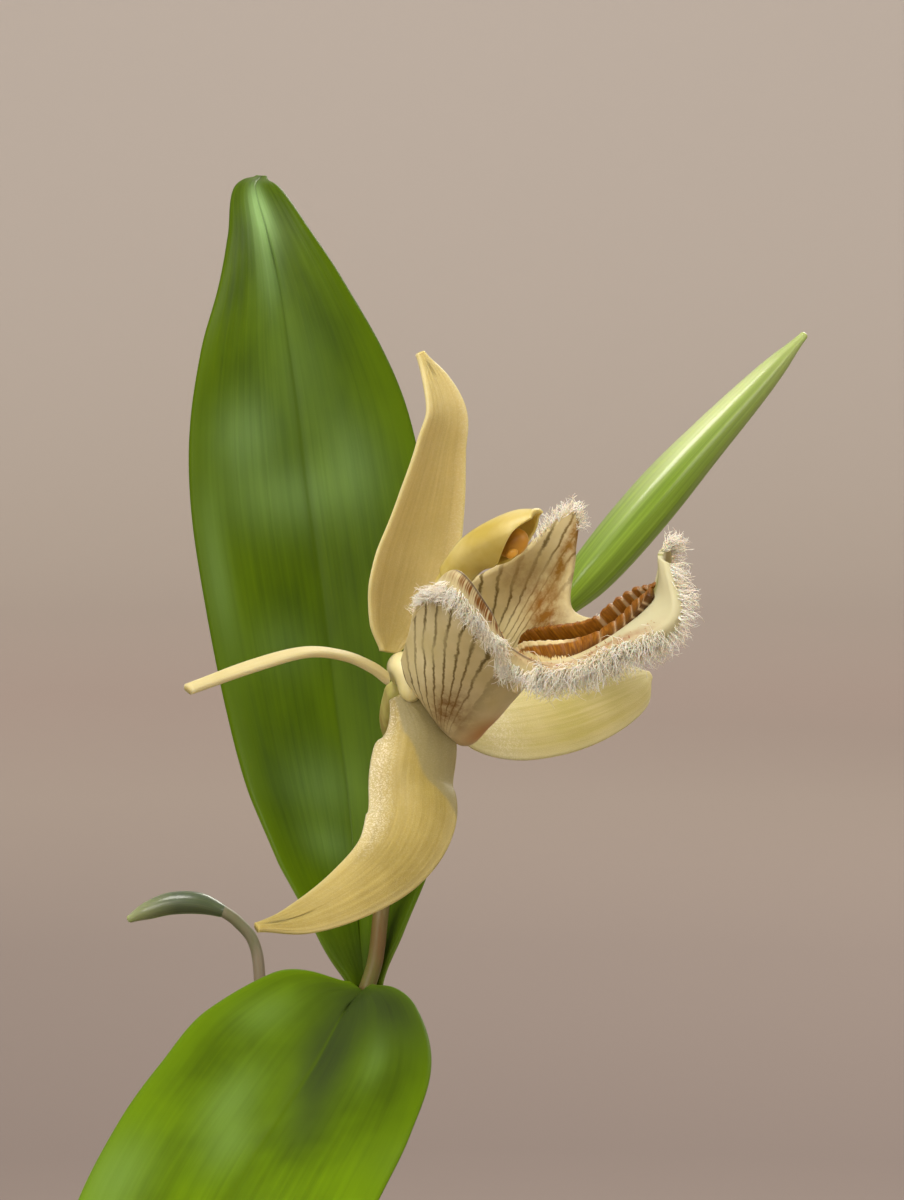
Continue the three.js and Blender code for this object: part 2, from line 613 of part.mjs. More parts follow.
const leaf = (outline, rows) => sheetSolid(blade(outline), rows, 4, LEAF_THICKNESS);
add("leaf_upright", leaf(UPRIGHT_LEAF, 14), LEAF);
add("leaf_lower", leaf(LOWER_LEAF, 14), LEAF);
for (const [name, [growth, bend]] of Object.entries(ARCHED_LEAVES)) {
  add(name, leaf(archedLeaf({ base: seat(growth, bend.heading), ...bend }), 10), LEAF);
}

const stalk = (points, radius) => stem({ curve: route(points), radius, steps: 14, sides: 7 });
add("flower_stalk", stalk(STALK_PATH, [STEM_RADIUS, STEM_RADIUS, STEM_RADIUS, 0.7]), STALK);
add("second_stalk", stalk(SECOND_STALK_PATH, [0.6, 0.5, 0.5]), STALK);
add("ovary", stalk(OVARY_PATH, [0.5, 0.55, 0.7, 0.95, 0.95]), STALK);
const bractLook = { steps: 11, sides: 9 };
add("next_bract", stem({
  curve: route(NEXT_BRACT_PATH), radius: [0.7, 1.7, 1.95, 1.5, 0.9, 0.3], ...bractLook,
}), BRACT);
add("second_bud", stem({
  curve: route(SECOND_BUD_PATH), radius: [0.5, 0.9, 0.95, 0.75, 0.3], ...bractLook,
}), BRACT);

const flower = new THREE.Group();
flower.position.copy(at(FLOWER_CENTRE));
root.add(flower);
const petal = (outline, rows, columns) => sheetSolid(blade(outline), rows, columns, PETAL_THICKNESS);
add("sepal_dorsal", petal(DORSAL_SEPAL, 16, 6), SEPAL, flower);
add("sepal_near", petal(NEAR_SEPAL, 16, 8), SEPAL, flower);
add("sepal_far", petal(FAR_SEPAL, 12, 6), SEPAL, flower);
add("petal_near", petal(NEAR_PETAL, 12, 2), PETAL, flower);
add("petal_far", petal(FAR_PETAL, 12, 2), PETAL, flower);

const mouth = new THREE.Group();
const { yaw, pitch, roll } = FLOWER_TURN;
mouth.rotation.set(degrees(roll), -degrees(pitch), degrees(yaw), "ZYX");
flower.add(mouth);
add("lip", lipSolid(), LIP, mouth);
add("column", columnSolid(), COLUMN, mouth);
add("anther_cap", antherGeometry(), ANTHER, mouth);

export default root;
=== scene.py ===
# %% [markdown]
# # A small orchid in bloom, in a clay pot
# One growth carries an open flower with a fringed lip, and its next bud on the same thin stalk.
# The plain solids of every piece are already at their real size and place. This lesson gives each of
# them the surface of the real plant: veins, frosted petals with painted glints, a hairy lip, dusty clay and
# rough bark.
# All sizes below are in millimetres until the last moment, when a mesh is made in metres.

# %% Load the fixed frame
import math
from functools import partial

import bmesh
import bpy
import numpy as np
from mathutils import Matrix, Vector


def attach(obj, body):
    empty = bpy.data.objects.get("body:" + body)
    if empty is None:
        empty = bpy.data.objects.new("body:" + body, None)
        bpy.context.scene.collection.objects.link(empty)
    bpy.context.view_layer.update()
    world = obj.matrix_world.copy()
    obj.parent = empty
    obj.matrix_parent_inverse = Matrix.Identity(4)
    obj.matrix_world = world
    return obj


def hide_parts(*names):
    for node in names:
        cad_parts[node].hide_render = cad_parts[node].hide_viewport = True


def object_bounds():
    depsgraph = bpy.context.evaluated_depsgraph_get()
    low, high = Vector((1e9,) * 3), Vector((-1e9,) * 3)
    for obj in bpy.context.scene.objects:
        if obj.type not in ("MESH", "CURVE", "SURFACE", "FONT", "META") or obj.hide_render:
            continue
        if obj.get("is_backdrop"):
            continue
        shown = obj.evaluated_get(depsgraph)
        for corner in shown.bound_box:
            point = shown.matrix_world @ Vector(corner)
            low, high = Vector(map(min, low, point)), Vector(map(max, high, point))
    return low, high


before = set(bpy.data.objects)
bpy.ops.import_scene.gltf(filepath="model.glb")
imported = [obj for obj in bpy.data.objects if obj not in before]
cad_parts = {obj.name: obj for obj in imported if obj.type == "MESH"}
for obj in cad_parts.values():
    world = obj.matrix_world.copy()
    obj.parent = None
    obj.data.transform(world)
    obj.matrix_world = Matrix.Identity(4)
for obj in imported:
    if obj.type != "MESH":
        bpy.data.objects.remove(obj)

solid_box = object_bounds()
MM = 0.001
print("solids:", len(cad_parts), "highest point in mm:", round(solid_box[1].z / MM, 1))

# %% [markdown]
# ## The camera
# The picture was taken from in front of the flower, a little above it and tilted down by a few
# degrees, with a long lens. A long lens close to a small thing keeps its shape natural. Depth of
# field stays off so that every leaf is as sharp as the flower.

# %% Place the camera
PHOTO_WIDTH, PHOTO_HEIGHT = 904, 1200
FOCAL_PIXELS = 3611
SENSOR = 36
CAMERA_PLACE = (5.17, -266.51, 178.4)
CAMERA_DIP = 5

scene = bpy.context.scene
camera = bpy.data.objects.new("camera", bpy.data.cameras.new("camera"))
camera.data.sensor_width = SENSOR
camera.data.lens = FOCAL_PIXELS / PHOTO_HEIGHT * SENSOR
camera.data.clip_start, camera.data.clip_end = 0.01, 20
camera.location = [MM * x for x in CAMERA_PLACE]
camera.rotation_euler = (math.radians(90 - CAMERA_DIP), 0, 0)
scene.collection.objects.link(camera)
scene.camera = camera
print("lens in mm:", round(camera.data.lens, 1))

# %% [markdown]
# ## Colour and shader nodes
# Colours are given as sRGB hex values, and light is worked out in linear values, so one
# function turns the one into the other. A finish is a chain of small shader nodes. One more function
# adds a node, sets its sockets and links it, so that a whole finish reads from top to bottom. The last
# colour and relief of a chain are worn by the material. Most patterns of a plant run along it, so
# one function stretches their coordinates along the marks that each mesh carries.

# %% Helpers for finishes
def linear(colour):
    """An sRGB hex colour as linear red, green, blue and alpha. A plain number gives that grey."""
    if not isinstance(colour, str):
        return [colour] * 3 + [1]
    parts = [int(colour[i:i + 2], 16) / 255 for i in (1, 3, 5)]
    return [p / 12.92 if p <= 0.04045 else ((p + 0.055) / 1.055) ** 2.4 for p in parts] + [1]


def add(tree, kind, sockets=(), stops=(), **settings):
    """Adds a shader node. A socket takes a value, a hex colour, or the node or output linked to it."""
    node = tree.nodes.new("ShaderNode" + kind)
    for name, value in settings.items():
        setattr(node, name, value)
    if stops:
        ramp = node.color_ramp.elements
        ramp.remove(ramp[1])
        ramp[0].position, ramp[0].color = stops[0][0], linear(stops[0][1])
        for place, colour in stops[1:]:
            ramp.new(place).color = linear(colour)
    for name, value in dict(sockets).items():
        if isinstance(value, bpy.types.Node):
            value = value.outputs[0]
        if isinstance(value, bpy.types.NodeSocket):
            tree.links.new(value, node.inputs[name])
        else:
            node.inputs[name].default_value = linear(value) if isinstance(value, str) else value
    return node


def new_finish(name, **plain):
    """A named material, and add() for its tree. plain holds numbers that are the same all over."""
    finish = bpy.data.materials.new(name)
    finish.use_nodes = True
    for socket, value in plain.items():
        finish.node_tree.nodes["Principled BSDF"].inputs[socket.replace("_", " ")].default_value = value
    return finish, partial(add, finish.node_tree)


def wear(finish, colour, relief=None):
    """Ends a chain: its last colour and its last relief go into the shader."""
    links, shader = finish.node_tree.links, finish.node_tree.nodes["Principled BSDF"]
    links.new(colour.outputs[0], shader.inputs["Base Color"])
    if relief:
        links.new(relief.outputs[0], shader.inputs["Normal"])
    return finish


def stretched(node, x, x_times, y, y_times):
    """Coordinates for a pattern that is fine along one mark of a mesh and long along another."""
    return node("CombineXYZ", {
        "X": node("Math", {0: x, 1: x_times}, operation="MULTIPLY"),
        "Y": node("Math", {0: y, 1: y_times}, operation="MULTIPLY")})


# %% [markdown]
# ## The studio
# The plant stands on a warm floor that curves up far behind it into a wall, all round, so that
# no horizon or corner shows from any side. Its colour is painted shade: darkest in a ring round the
# plant and lighter out to the wall. The light is soft: one panel high above the plant, one in
# front, a weaker one from the right, and one behind that shines through the thin petals. Four wide
# lamps wash the wall, so that it stays as bright all round.

# %% Build the backdrop
STAGE_FLOOR, STAGE_CURVE, STAGE_WALL, STAGE_SIDES = 1700, 900, 1300, 96


def stage_profile():
    """Radius and height along the backdrop, from its centre to the top of its wall."""
    bend = [math.radians(a) for a in range(0, 91, 5)]
    curve = [(STAGE_FLOOR + STAGE_CURVE * math.sin(a), STAGE_CURVE * (1 - math.cos(a))) for a in bend]
    inside = [(STAGE_FLOOR * share, 0) for share in (0, 0.1, 0.2, 0.4, 0.6, 0.8)]
    return inside + curve + [(STAGE_FLOOR + STAGE_CURVE, STAGE_WALL)]


def turned(profile, sides):
    """Points and faces of an open shape turned round the upright axis."""
    angles = np.arange(sides) * 2 * np.pi / sides
    r, z = np.array(profile, float).T
    x, y = r[:, None] * np.cos(angles), r[:, None] * np.sin(angles)
    points = np.stack([x, y, np.broadcast_to(z[:, None], x.shape)], -1).reshape(-1, 3)
    return points, ring_faces(len(profile), sides)


def ring_faces(rings, sides):
    """The four-sided faces between rings of points that close on themselves."""
    first = np.arange(rings - 1)[:, None] * sides
    a, b = first + np.arange(sides), first + (np.arange(sides) + 1) % sides
    return np.stack([a, b, b + sides, a + sides], -1).reshape(-1, 4)


backdrop_finish, node = new_finish("painted backdrop", Roughness=0.95, Specular_IOR_Level=0.1)
place = node("NewGeometry").outputs["Position"]
flat_place = node("VectorMath", {0: place, 1: (1, 1, 0)}, operation="MULTIPLY")
reach = node("VectorMath", {0: flat_place}, operation="LENGTH").outputs["Value"]
share = node("Math", {0: reach, 1: (STAGE_FLOOR + STAGE_CURVE) * MM}, operation="DIVIDE")
# Painted shade: the floor is darkest in a ring round the plant and grows lighter out to the wall.
painted_shade_ramp = node("ValToRGB", {"Fac": share}, stops=[
    (0.0, "#968980"), (0.11, "#8d8078"), (0.18, "#7c706a"), (0.27, "#837770"),
    (0.38, "#96897f"), (0.5, "#a09086"), (0.75, "#b0a499"), (1.0, "#bfb6ae")])
wear(backdrop_finish, painted_shade_ramp)

points, faces = turned(stage_profile(), STAGE_SIDES)
mesh = bpy.data.meshes.new("backdrop")
mesh.from_pydata((points * MM).tolist(), [], faces.tolist())
mesh.shade_smooth()
mesh.materials.append(backdrop_finish)
backdrop = bpy.data.objects.new("backdrop", mesh)
scene.collection.objects.link(backdrop)
backdrop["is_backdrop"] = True
print("backdrop faces:", len(faces))

# %% Hang the lights
SUBJECT, WALL_SPOT = (0, -5, 145), 350
LIGHTS = {
    "panel_above": {"place": (-200, -330, 1080), "size": (460, 460), "power": 8.5, "colour": "#fffaf3"},
    "panel_front": {"place": (-520, -900, 480), "size": (640, 440), "power": 5, "colour": "#fffaf3"},
    "panel_right": {"place": (800, -640, 500), "size": (700, 420), "power": 3, "colour": "#fff8ee"},
    "panel_behind": {"place": (300, 700, 620), "size": (420, 420), "power": 4, "colour": "#fffaf0"},
}
WASH_COUNT, WASH_REACH, WASH_HEIGHT = 4, 900, 1350
WASH_LAMP = {"size": (800, 800), "power": 16, "colour": "#fffaf5"}


def hang(name, place, aim, size, power, colour):
    """A flat lamp, wide and high, that faces the point it is aimed at and stays out of the picture."""
    lamp = bpy.data.lights.new(name, "AREA")
    lamp.shape = "RECTANGLE"
    lamp.size, lamp.size_y = size[0] * MM, size[1] * MM
    lamp.energy = power
    lamp.color = linear(colour)[:3]
    holder = bpy.data.objects.new(name, lamp)
    holder.location = [MM * x for x in place]
    away = holder.location - Vector([MM * x for x in aim])
    holder.rotation_euler = away.to_track_quat("Z", "Y").to_euler()
    holder.visible_camera = False
    scene.collection.objects.link(holder)


for name, light in LIGHTS.items():
    hang(name, aim=SUBJECT, **light)
for i in range(WASH_COUNT):
    turn = math.pi / 2 + i * 2 * math.pi / WASH_COUNT
    near, far = WASH_REACH, STAGE_FLOOR + STAGE_CURVE
    place = (near * math.cos(turn), near * math.sin(turn), WASH_HEIGHT)
    aim = (far * math.cos(turn), far * math.sin(turn), WALL_SPOT)
    hang(f"wall_wash_{i}", place, aim, **WASH_LAMP)

scene.world = bpy.data.worlds.new("soft room light")
scene.world.use_nodes = True
sky = scene.world.node_tree.nodes["Background"]
sky.inputs["Color"].default_value = linear("#fdfaf6")
sky.inputs["Strength"].default_value = 0.45
scene.view_settings.view_transform = "Standard"
print("lights:", len(LIGHTS) + WASH_COUNT)

# %% [markdown]
# ## Smooth lines and sheets
# A leaf, a petal and a stalk are all drawn in the same way: a few stations along the middle, each
# with its width, bend and fold, and a smooth line through them. The maths repeats that of the solids,
# only with many more points, so each fine piece lies exactly where its solid does.

# %% Lines through stations
def through(stations, t, runs_on=True):
    """A smooth line through evenly spaced stations, read at the shares t of its length."""
    t = np.asarray(t, float)
    line = np.asarray(stations, float)
    if line.ndim == 1:
        line = line[:, None]
    if line.ndim == 2:
        line = line.reshape(len(line), *[1] * t.ndim, line.shape[1])
    line = np.broadcast_to(line, (len(line), *t.shape, line.shape[-1]))
    if len(line) == 1:
        return line[0]
    before = 2 * line[:1] - line[1:2] if runs_on else line[:1]
    after = 2 * line[-1:] - line[-2:-1] if runs_on else line[-1:]
    padded = np.concatenate([before, line, after])
    x = np.clip(t, 0, 1) * (len(line) - 1)
    i = np.minimum(x.astype(int), len(line) - 2)
    w = (x - i)[..., None]
    p0, p1, p2, p3 = [np.take_along_axis(padded, (i + k)[None, ..., None], 0)[0] for k in range(4)]
    v1, v2 = (p2 - p0) / 2, (p3 - p1) / 2
    return (2 * p1 - 2 * p2 + v1 + v2) * w**3 + (3 * p2 - 3 * p1 - 2 * v1 - v2) * w**2 + v1 * w + p1


def graded(values, t):
    """A number that runs smoothly through evenly spaced stations."""
    return through(values, t, runs_on=False)[..., 0]


def unit(vectors):
    """The same directions with length 1."""
    return vectors / np.maximum(np.linalg.norm(vectors, axis=-1, keepdims=True), 1e-9)


def step_up(low, high, x):
    """0 below low, 1 above high, and smooth between them."""
    t = np.clip((np.asarray(x, float) - low) / (high - low), 0, 1)
    return t * t * (3 - 2 * t)


def bump(x, width):
    """1 where x is 0, falling to nothing at a few widths away."""
    return np.exp(-((np.asarray(x, float) / width) ** 2))


# %% Sheets and tubes
STEP = 1e-3


def sheet(surface, rows, columns, thickness):
    """A thin closed body round surface(u, v), u from 0 to 1 and v from -1 to 1, with its marks."""
    u, v = np.meshgrid(np.linspace(0, 1, rows + 1), np.linspace(-1, 1, columns + 1), indexing="ij")
    inner_u, inner_v = np.clip(u, STEP, 1 - STEP), np.clip(v, STEP - 1, 1 - STEP)
    along = surface(inner_u + STEP, inner_v) - surface(inner_u - STEP, inner_v)
    across = surface(inner_u, inner_v + STEP) - surface(inner_u, inner_v - STEP)
    normal = unit(np.cross(along, across))
    offset = normal * (thickness(u, v) / 2)[..., None]
    middle = surface(u, v)
    points = np.concatenate([(middle + offset).reshape(-1, 3), (middle - offset).reshape(-1, 3)])
    width, back = columns + 1, (rows + 1) * (columns + 1)
    a = (np.arange(rows)[:, None] * width + np.arange(columns)).reshape(-1)
    front = np.stack([a, a + width, a + width + 1, a + 1], -1)
    edge = [*range(columns), *range(columns, back - 1, width), *range(back - 1, back - width, -1)]
    edge = np.array(edge + [*range(back - width, 0, -width)])
    after = np.roll(edge, -1)
    rim = np.stack([edge, after, back + after, back + edge], -1)
    faces = np.concatenate([front, back + front[:, ::-1], rim])
    marks = {"along": np.tile(u.reshape(-1), 2), "across": np.tile(v.reshape(-1), 2)}
    marks["inner"] = np.repeat([0.0, 1.0], back)
    return points, faces, marks


def tube(path, radius, steps, sides, flat=(1,), ribs=(0, 0), reference=(0, 1, 0)):
    """A closed stem with rounded ends along a path of stations, and its marks."""
    u = (1 - np.cos(np.linspace(0, np.pi, steps + 1))) / 2
    u = 0.5 * u + 0.5 * np.linspace(0, 1, steps + 1)
    middle = through(path, u)
    along = unit(through(path, u + STEP) - through(path, u - STEP))
    across = unit(np.cross(along, reference))
    normal = np.cross(across, along)
    angle = np.arange(sides) * 2 * np.pi / sides
    size = graded(radius, u)
    length = np.linalg.norm(np.diff(middle, axis=0), axis=1).sum()
    from_end = length * np.minimum(u, 1 - u) / np.maximum(size, 1e-6)
    size = size * np.sqrt(np.clip(1 - (1 - np.minimum(from_end, 1)) ** 2, 1e-4, 1))
    r = size[:, None] * (1 + ribs[1] * np.cos(ribs[0] * angle))
    high = r * graded(flat, u)[:, None] * np.sin(angle)
    wide = r * np.cos(angle)
    points = middle[:, None] + across[:, None] * wide[..., None] + normal[:, None] * high[..., None]
    points = np.concatenate([points.reshape(-1, 3), middle[:1], middle[-1:]])
    last = steps * sides
    ends = [(last + sides, (j + 1) % sides, j) for j in range(sides)]
    ends += [(last + sides + 1, last + j, last + (j + 1) % sides) for j in range(sides)]
    faces = ring_faces(steps + 1, sides).tolist() + ends
    marks = {"along": np.append(np.repeat(u, sides), [0, 1])}
    marks["round"] = np.append(np.tile(angle / (2 * np.pi), steps + 1), [0, 0])
    return points, faces, marks


# %% Make a piece
def piece(name, shape, finish, slot, *nodes):
    """A smooth mesh piece of the plant, in place of the solids that it stands for."""
    points, faces, marks = shape
    faces = faces if isinstance(faces, list) else faces.tolist()
    mesh = bpy.data.meshes.new(name)
    mesh.from_pydata((np.asarray(points) * MM).tolist(), [], faces)
    for mark, values in marks.items():
        mesh.attributes.new(mark, "FLOAT", "POINT").data.foreach_set("value", np.asarray(values, float))
    mesh.validate()
    mesh.shade_smooth()
    mesh.materials.append(finish)
    made = bpy.data.objects.new(name, mesh)
    scene.collection.objects.link(made)
    turn_outwards(made)
    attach(made, "root")
    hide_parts(*nodes)
    print(name, "triangles:", sum(len(f) - 2 for f in faces))
    return made


def turn_outwards(made):
    """Flips a closed mesh whose faces look inwards."""
    bm = bmesh.new()
    bm.from_mesh(made.data)
    if bm.calc_volume(signed=True) < 0:
        bmesh.ops.reverse_faces(bm, faces=bm.faces)
        bm.to_mesh(made.data)
    bm.free()


def joined(shapes):
    """Several shapes as one, with their marks."""
    points, faces, marks, count = [], [], {}, 0
    for shape_points, shape_faces, shape_marks in shapes:
        points.append(shape_points)
        faces += [[i + count for i in face] for face in shape_faces]
        count += len(shape_points)
        for mark, values in shape_marks.items():
            marks.setdefault(mark, []).append(values)
    return np.concatenate(points), faces, {mark: np.concatenate(v) for mark, v in marks.items()}


# %% [markdown]
# ## The clay pot
# A pot like this is thrown or pressed from red clay and fired without a glaze. Fired clay is matt
# and slightly rough, with faint rings from the wheel, and the lime in the water dries as a pale bloom
# on its outside. It could be a stack of cylinders, but a profile turned round the axis keeps the
# rounded rim and foot. The drain holes are cut through the floor afterwards.

# %% Fired terracotta
def fired_terracotta():
    """Unglazed red clay: matt, with wheel rings, fine grit and a bloom of dried lime."""
    finish, node = new_finish("fired terracotta", Roughness=0.88, IOR=1.55)
    place = node("TexCoord").outputs["Object"]
    clouds = node("TexNoise", {"Vector": place, "Scale": 45, "Detail": 5, "Roughness": 0.6})
    clay = node("ValToRGB", {"Fac": clouds}, stops=[
        (0.3, "#9a4d2c"), (0.5, "#b5633b"), (0.72, "#c67c52")])
    upright_place = node("VectorMath", {0: place, 1: (90, 90, 28)}, operation="MULTIPLY")
    lime = node("TexNoise", {"Vector": upright_place, "Scale": 1, "Detail": 7, "Roughness": 0.65})
    lime_share = node("ValToRGB", {"Fac": lime}, stops=[(0.52, 0), (0.75, 0.6)])
    bloom = node("MixRGB", {"Fac": lime_share, "Color1": clay, "Color2": "#dccbb4"})
    rings = node("TexWave", {"Vector": place, "Scale": 190, "Distortion": 1.5, "Detail": 2},
                 bands_direction="Z")
    grit = node("TexNoise", {"Vector": place, "Scale": 2200, "Detail": 3})
    turned_bump = node("Bump", {"Height": rings, "Strength": 0.25, "Distance": 0.12 * MM})
    gritty = node("Bump", {"Height": grit, "Strength": 0.5, "Distance": 0.15 * MM, "Normal": turned_bump})
    return wear(finish, bloom, gritty)


# %% Turn the pot and drill its floor
POT_HEIGHT, RIM_RADIUS, RIM_DEPTH, RIM_STEP, FOOT_RADIUS = 85, 48, 15, 2.6, 32
WALL, FLOOR, ROUND, POT_SIDES = 3.6, 5, 1.1, 160
DRAIN_RADIUS, DRAIN_CIRCLE, DRAIN_COUNT = 3.5, 17, 4
INNER_FLOOR, INNER_RIM = FOOT_RADIUS - WALL, RIM_RADIUS - WALL - 1


def rounded(corners, radius, steps=6):
    """A profile whose inner corners are rounded by curves that start a radius away."""
    corners = np.array(corners, float)
    line = [corners[0]]
    for before, here, after in zip(corners, corners[1:], corners[2:]):
        reach = min(radius, *[np.linalg.norm(here - p) / 2 for p in (before, after)])
        start, end = here + reach * unit(before - here), here + reach * unit(after - here)
        for t in np.linspace(0, 1, steps):
            line.append((1 - t) ** 2 * start + 2 * t * (1 - t) * here + t * t * end)
    return line + [corners[-1]]


below_rim = POT_HEIGHT - RIM_DEPTH
pot_profile = rounded([
    (0, 0), (FOOT_RADIUS, 0), (RIM_RADIUS - RIM_STEP, below_rim), (RIM_RADIUS - 0.4, below_rim + 0.4),
    (RIM_RADIUS, POT_HEIGHT), (INNER_RIM, POT_HEIGHT), (INNER_FLOOR, FLOOR), (0, FLOOR)], 1.6 * ROUND)
pot_points, pot_faces = turned(pot_profile, POT_SIDES)
pot = piece("clay_pot", (pot_points, pot_faces, {}), fired_terracotta(), "terracotta", "pot")
bm = bmesh.new()
bm.from_mesh(pot.data)
bmesh.ops.remove_doubles(bm, verts=bm.verts, dist=0.001 * MM)
bm.to_mesh(pot.data)
bm.free()
turn_outwards(pot)

bm = bmesh.new()
for i in range(DRAIN_COUNT):
    angle = (i + 0.5) / DRAIN_COUNT * 2 * math.pi
    spot = [DRAIN_CIRCLE * math.cos(angle) * MM, DRAIN_CIRCLE * math.sin(angle) * MM, FLOOR / 2 * MM]
    bmesh.ops.create_cone(
        bm, cap_ends=True, segments=32, radius1=DRAIN_RADIUS * MM, radius2=DRAIN_RADIUS * MM,
        depth=3 * FLOOR * MM, matrix=Matrix.Translation(spot))
drill_mesh = bpy.data.meshes.new("drill")
bm.to_mesh(drill_mesh)
bm.free()
drill = bpy.data.objects.new("drill", drill_mesh)
scene.collection.objects.link(drill)
cut = pot.modifiers.new("drain holes", "BOOLEAN")
cut.object, cut.operation, cut.solver = drill, "DIFFERENCE", "EXACT"
bpy.context.view_layer.update()
drilled = bpy.data.meshes.new_from_object(pot.evaluated_get(bpy.context.evaluated_depsgraph_get()))
pot.modifiers.clear()
pot.data = drilled
bpy.data.objects.remove(drill)
print("pot faces after drilling:", len(pot.data.polygons))

# %% [markdown]
# ## The bark
# Orchids of this kind grow in loose pieces of conifer bark, not in soil. Each piece is a flat
# flake with worn corners, built up of thin layers, red-brown inside and grey outside. One round
# ball of points, squared off, flattened and roughened with a few waves, gives a new flake for every
# draw of the seeded numbers. The bed below fills the pot, so that none is hollow from below.

# %% Conifer bark
def conifer_bark():
    """Weathered bark: dry layers in browns that change from flake to flake."""
    finish, node = new_finish("conifer bark", Roughness=0.93, IOR=1.45)
    place = node("TexCoord").outputs["Object"]
    tone = node("Attribute", attribute_name="tone").outputs["Fac"]
    layer = node("Attribute", attribute_name="layer").outputs["Fac"]
    brown = node("ValToRGB", {"Fac": tone}, stops=[
        (0.0, "#523523"), (0.35, "#74492f"), (0.7, "#916343"), (1.0, "#8a7865")])
    rough = node("TexNoise", {"Vector": place, "Scale": 700, "Detail": 6, "Roughness": 0.7})
    shifted = node("Math", {0: layer, 1: rough}, operation="ADD")
    strata = node("Math", {0: shifted, 1: 4.2}, operation="MULTIPLY")
    lines = node("Math", {0: strata, 1: 0.5}, operation="PINGPONG")
    dark = node("ValToRGB", {"Fac": rough}, stops=[(0.3, 0.45), (0.62, 1.1)])
    shaded = node("MixRGB", {"Fac": 0.85, "Color1": brown, "Color2": dark}, blend_type="MULTIPLY")
    layered = node("Bump", {"Height": lines, "Strength": 0.6, "Distance": 0.5 * MM})
    crumbly = node("Bump", {"Height": rough, "Strength": 0.8, "Distance": 0.8 * MM, "Normal": layered})
    return wear(finish, shaded, crumbly)


# %% Scatter the flakes over the bed
BARK_TOP, FLAKE_COUNT, FLAKE_SIZE = 81, 250, (5.2, 3.4, 1.3)
GOLDEN_TURN = math.pi * (3 - math.sqrt(5))
BED_EDGE, BED_MARGIN = BARK_TOP - 4, 5
draws = np.random.default_rng(11)
bm = bmesh.new()
bmesh.ops.create_icosphere(bm, subdivisions=3, radius=1)
ball_points = np.array([v.co for v in bm.verts])
ball_faces = [[v.index for v in f.verts] for f in bm.faces]
bm.free()


def turn_matrix(x, y, z):
    """A turn by three angles, about X, then Y, then Z."""
    return np.array(Matrix.Rotation(z, 3, "Z") @ Matrix.Rotation(y, 3, "Y") @ Matrix.Rotation(x, 3, "X"))


def flake(spot, size, lean, tone):
    """One flake of bark, its corners worn and its faces rough."""
    squared = np.sign(ball_points) * np.abs(ball_points) ** 0.55
    waves = draws.normal(size=(7, 3)) * np.linspace(1.2, 5, 7)[:, None]
    starts = draws.uniform(0, 2 * np.pi, 7)
    rough = sum(np.sin(squared @ w + s) / (1 + k) for k, (w, s) in enumerate(zip(waves, starts)))
    points = squared * size * (1 + 0.12 * rough[:, None])
    points = points @ turn_matrix(*lean).T + spot
    marks = {"tone": np.full(len(points), tone), "layer": squared[:, 2]}
    return points, ball_faces, marks


def bark_inner_radius(z):
    """How far the pot lets the bark reach at a height."""
    slope = (INNER_RIM - INNER_FLOOR) / (POT_HEIGHT - ROUND - FLOOR)
    return INNER_FLOOR + slope * (z - FLOOR) - 0.45


flakes = []
farthest = bark_inner_radius(BARK_TOP - 2) - FLAKE_SIZE[0] - 0.5
for i in range(FLAKE_COUNT):
    r = farthest * math.sqrt((i + 0.5) / FLAKE_COUNT)
    turn = i * GOLDEN_TURN
    height = BARK_TOP - 1.6 + 1.9 * draws.random() - 2.2 * (r / farthest) ** 4
    lean = (*draws.normal(0, 0.2, 2), draws.uniform(0, 2 * math.pi))
    size = np.array(FLAKE_SIZE) * draws.uniform(0.62, 1.12, 3)
    flakes.append(flake((r * math.cos(turn), r * math.sin(turn), height), size, lean, draws.random()))
bed_foot, low_reach, high_reach = FLOOR + 0.3, bark_inner_radius(FLOOR + 0.3), bark_inner_radius(BED_EDGE)
bed_points, bed_faces = turned([
    (0.01, bed_foot), (low_reach, bed_foot), (high_reach, BED_EDGE),
    (high_reach - BED_MARGIN, BARK_TOP - 2.4), (0.01, BARK_TOP - 2)], 64)
bed_marks = {"tone": np.zeros(len(bed_points)), "layer": bed_points[:, 2] * 0.3}
bark_shape = joined([(bed_points, bed_faces.tolist(), bed_marks), *flakes])
piece("bark_flakes", bark_shape, conifer_bark(), "bark", "bark")

# %% [markdown]
# ## The creeping stem and its roots
# The growths stand in a row on one woody stem that creeps over the bark. It is wrapped in short
# overlapping papery rings, so its radius rises and drops like the teeth of a saw. The roots have a
# spongy silver skin, and each runs over the bark before it dives.

# %% Creeping stem
RHIZOME_RADIUS, RHIZOME_HEIGHT = 1.9, BARK_TOP + 3.2
LAST_BASE = (-12.6, 1.9, 90.6)
RHIZOME_PATH = [
    (20, -33, RHIZOME_HEIGHT - 2), (16, -25, RHIZOME_HEIGHT), (25, -15, RHIZOME_HEIGHT),
    (27, -3, RHIZOME_HEIGHT), (18, 12, RHIZOME_HEIGHT), (3, 19, RHIZOME_HEIGHT),
    (-10, 19, RHIZOME_HEIGHT), (-22, 12, RHIZOME_HEIGHT), (-29, 0, RHIZOME_HEIGHT),
    (-24, -7, RHIZOME_HEIGHT + 1), (-16, -3, RHIZOME_HEIGHT + 3.5),
    (LAST_BASE[0], LAST_BASE[1], LAST_BASE[2] - RHIZOME_RADIUS - 0.3)]
RING_COUNT = 42


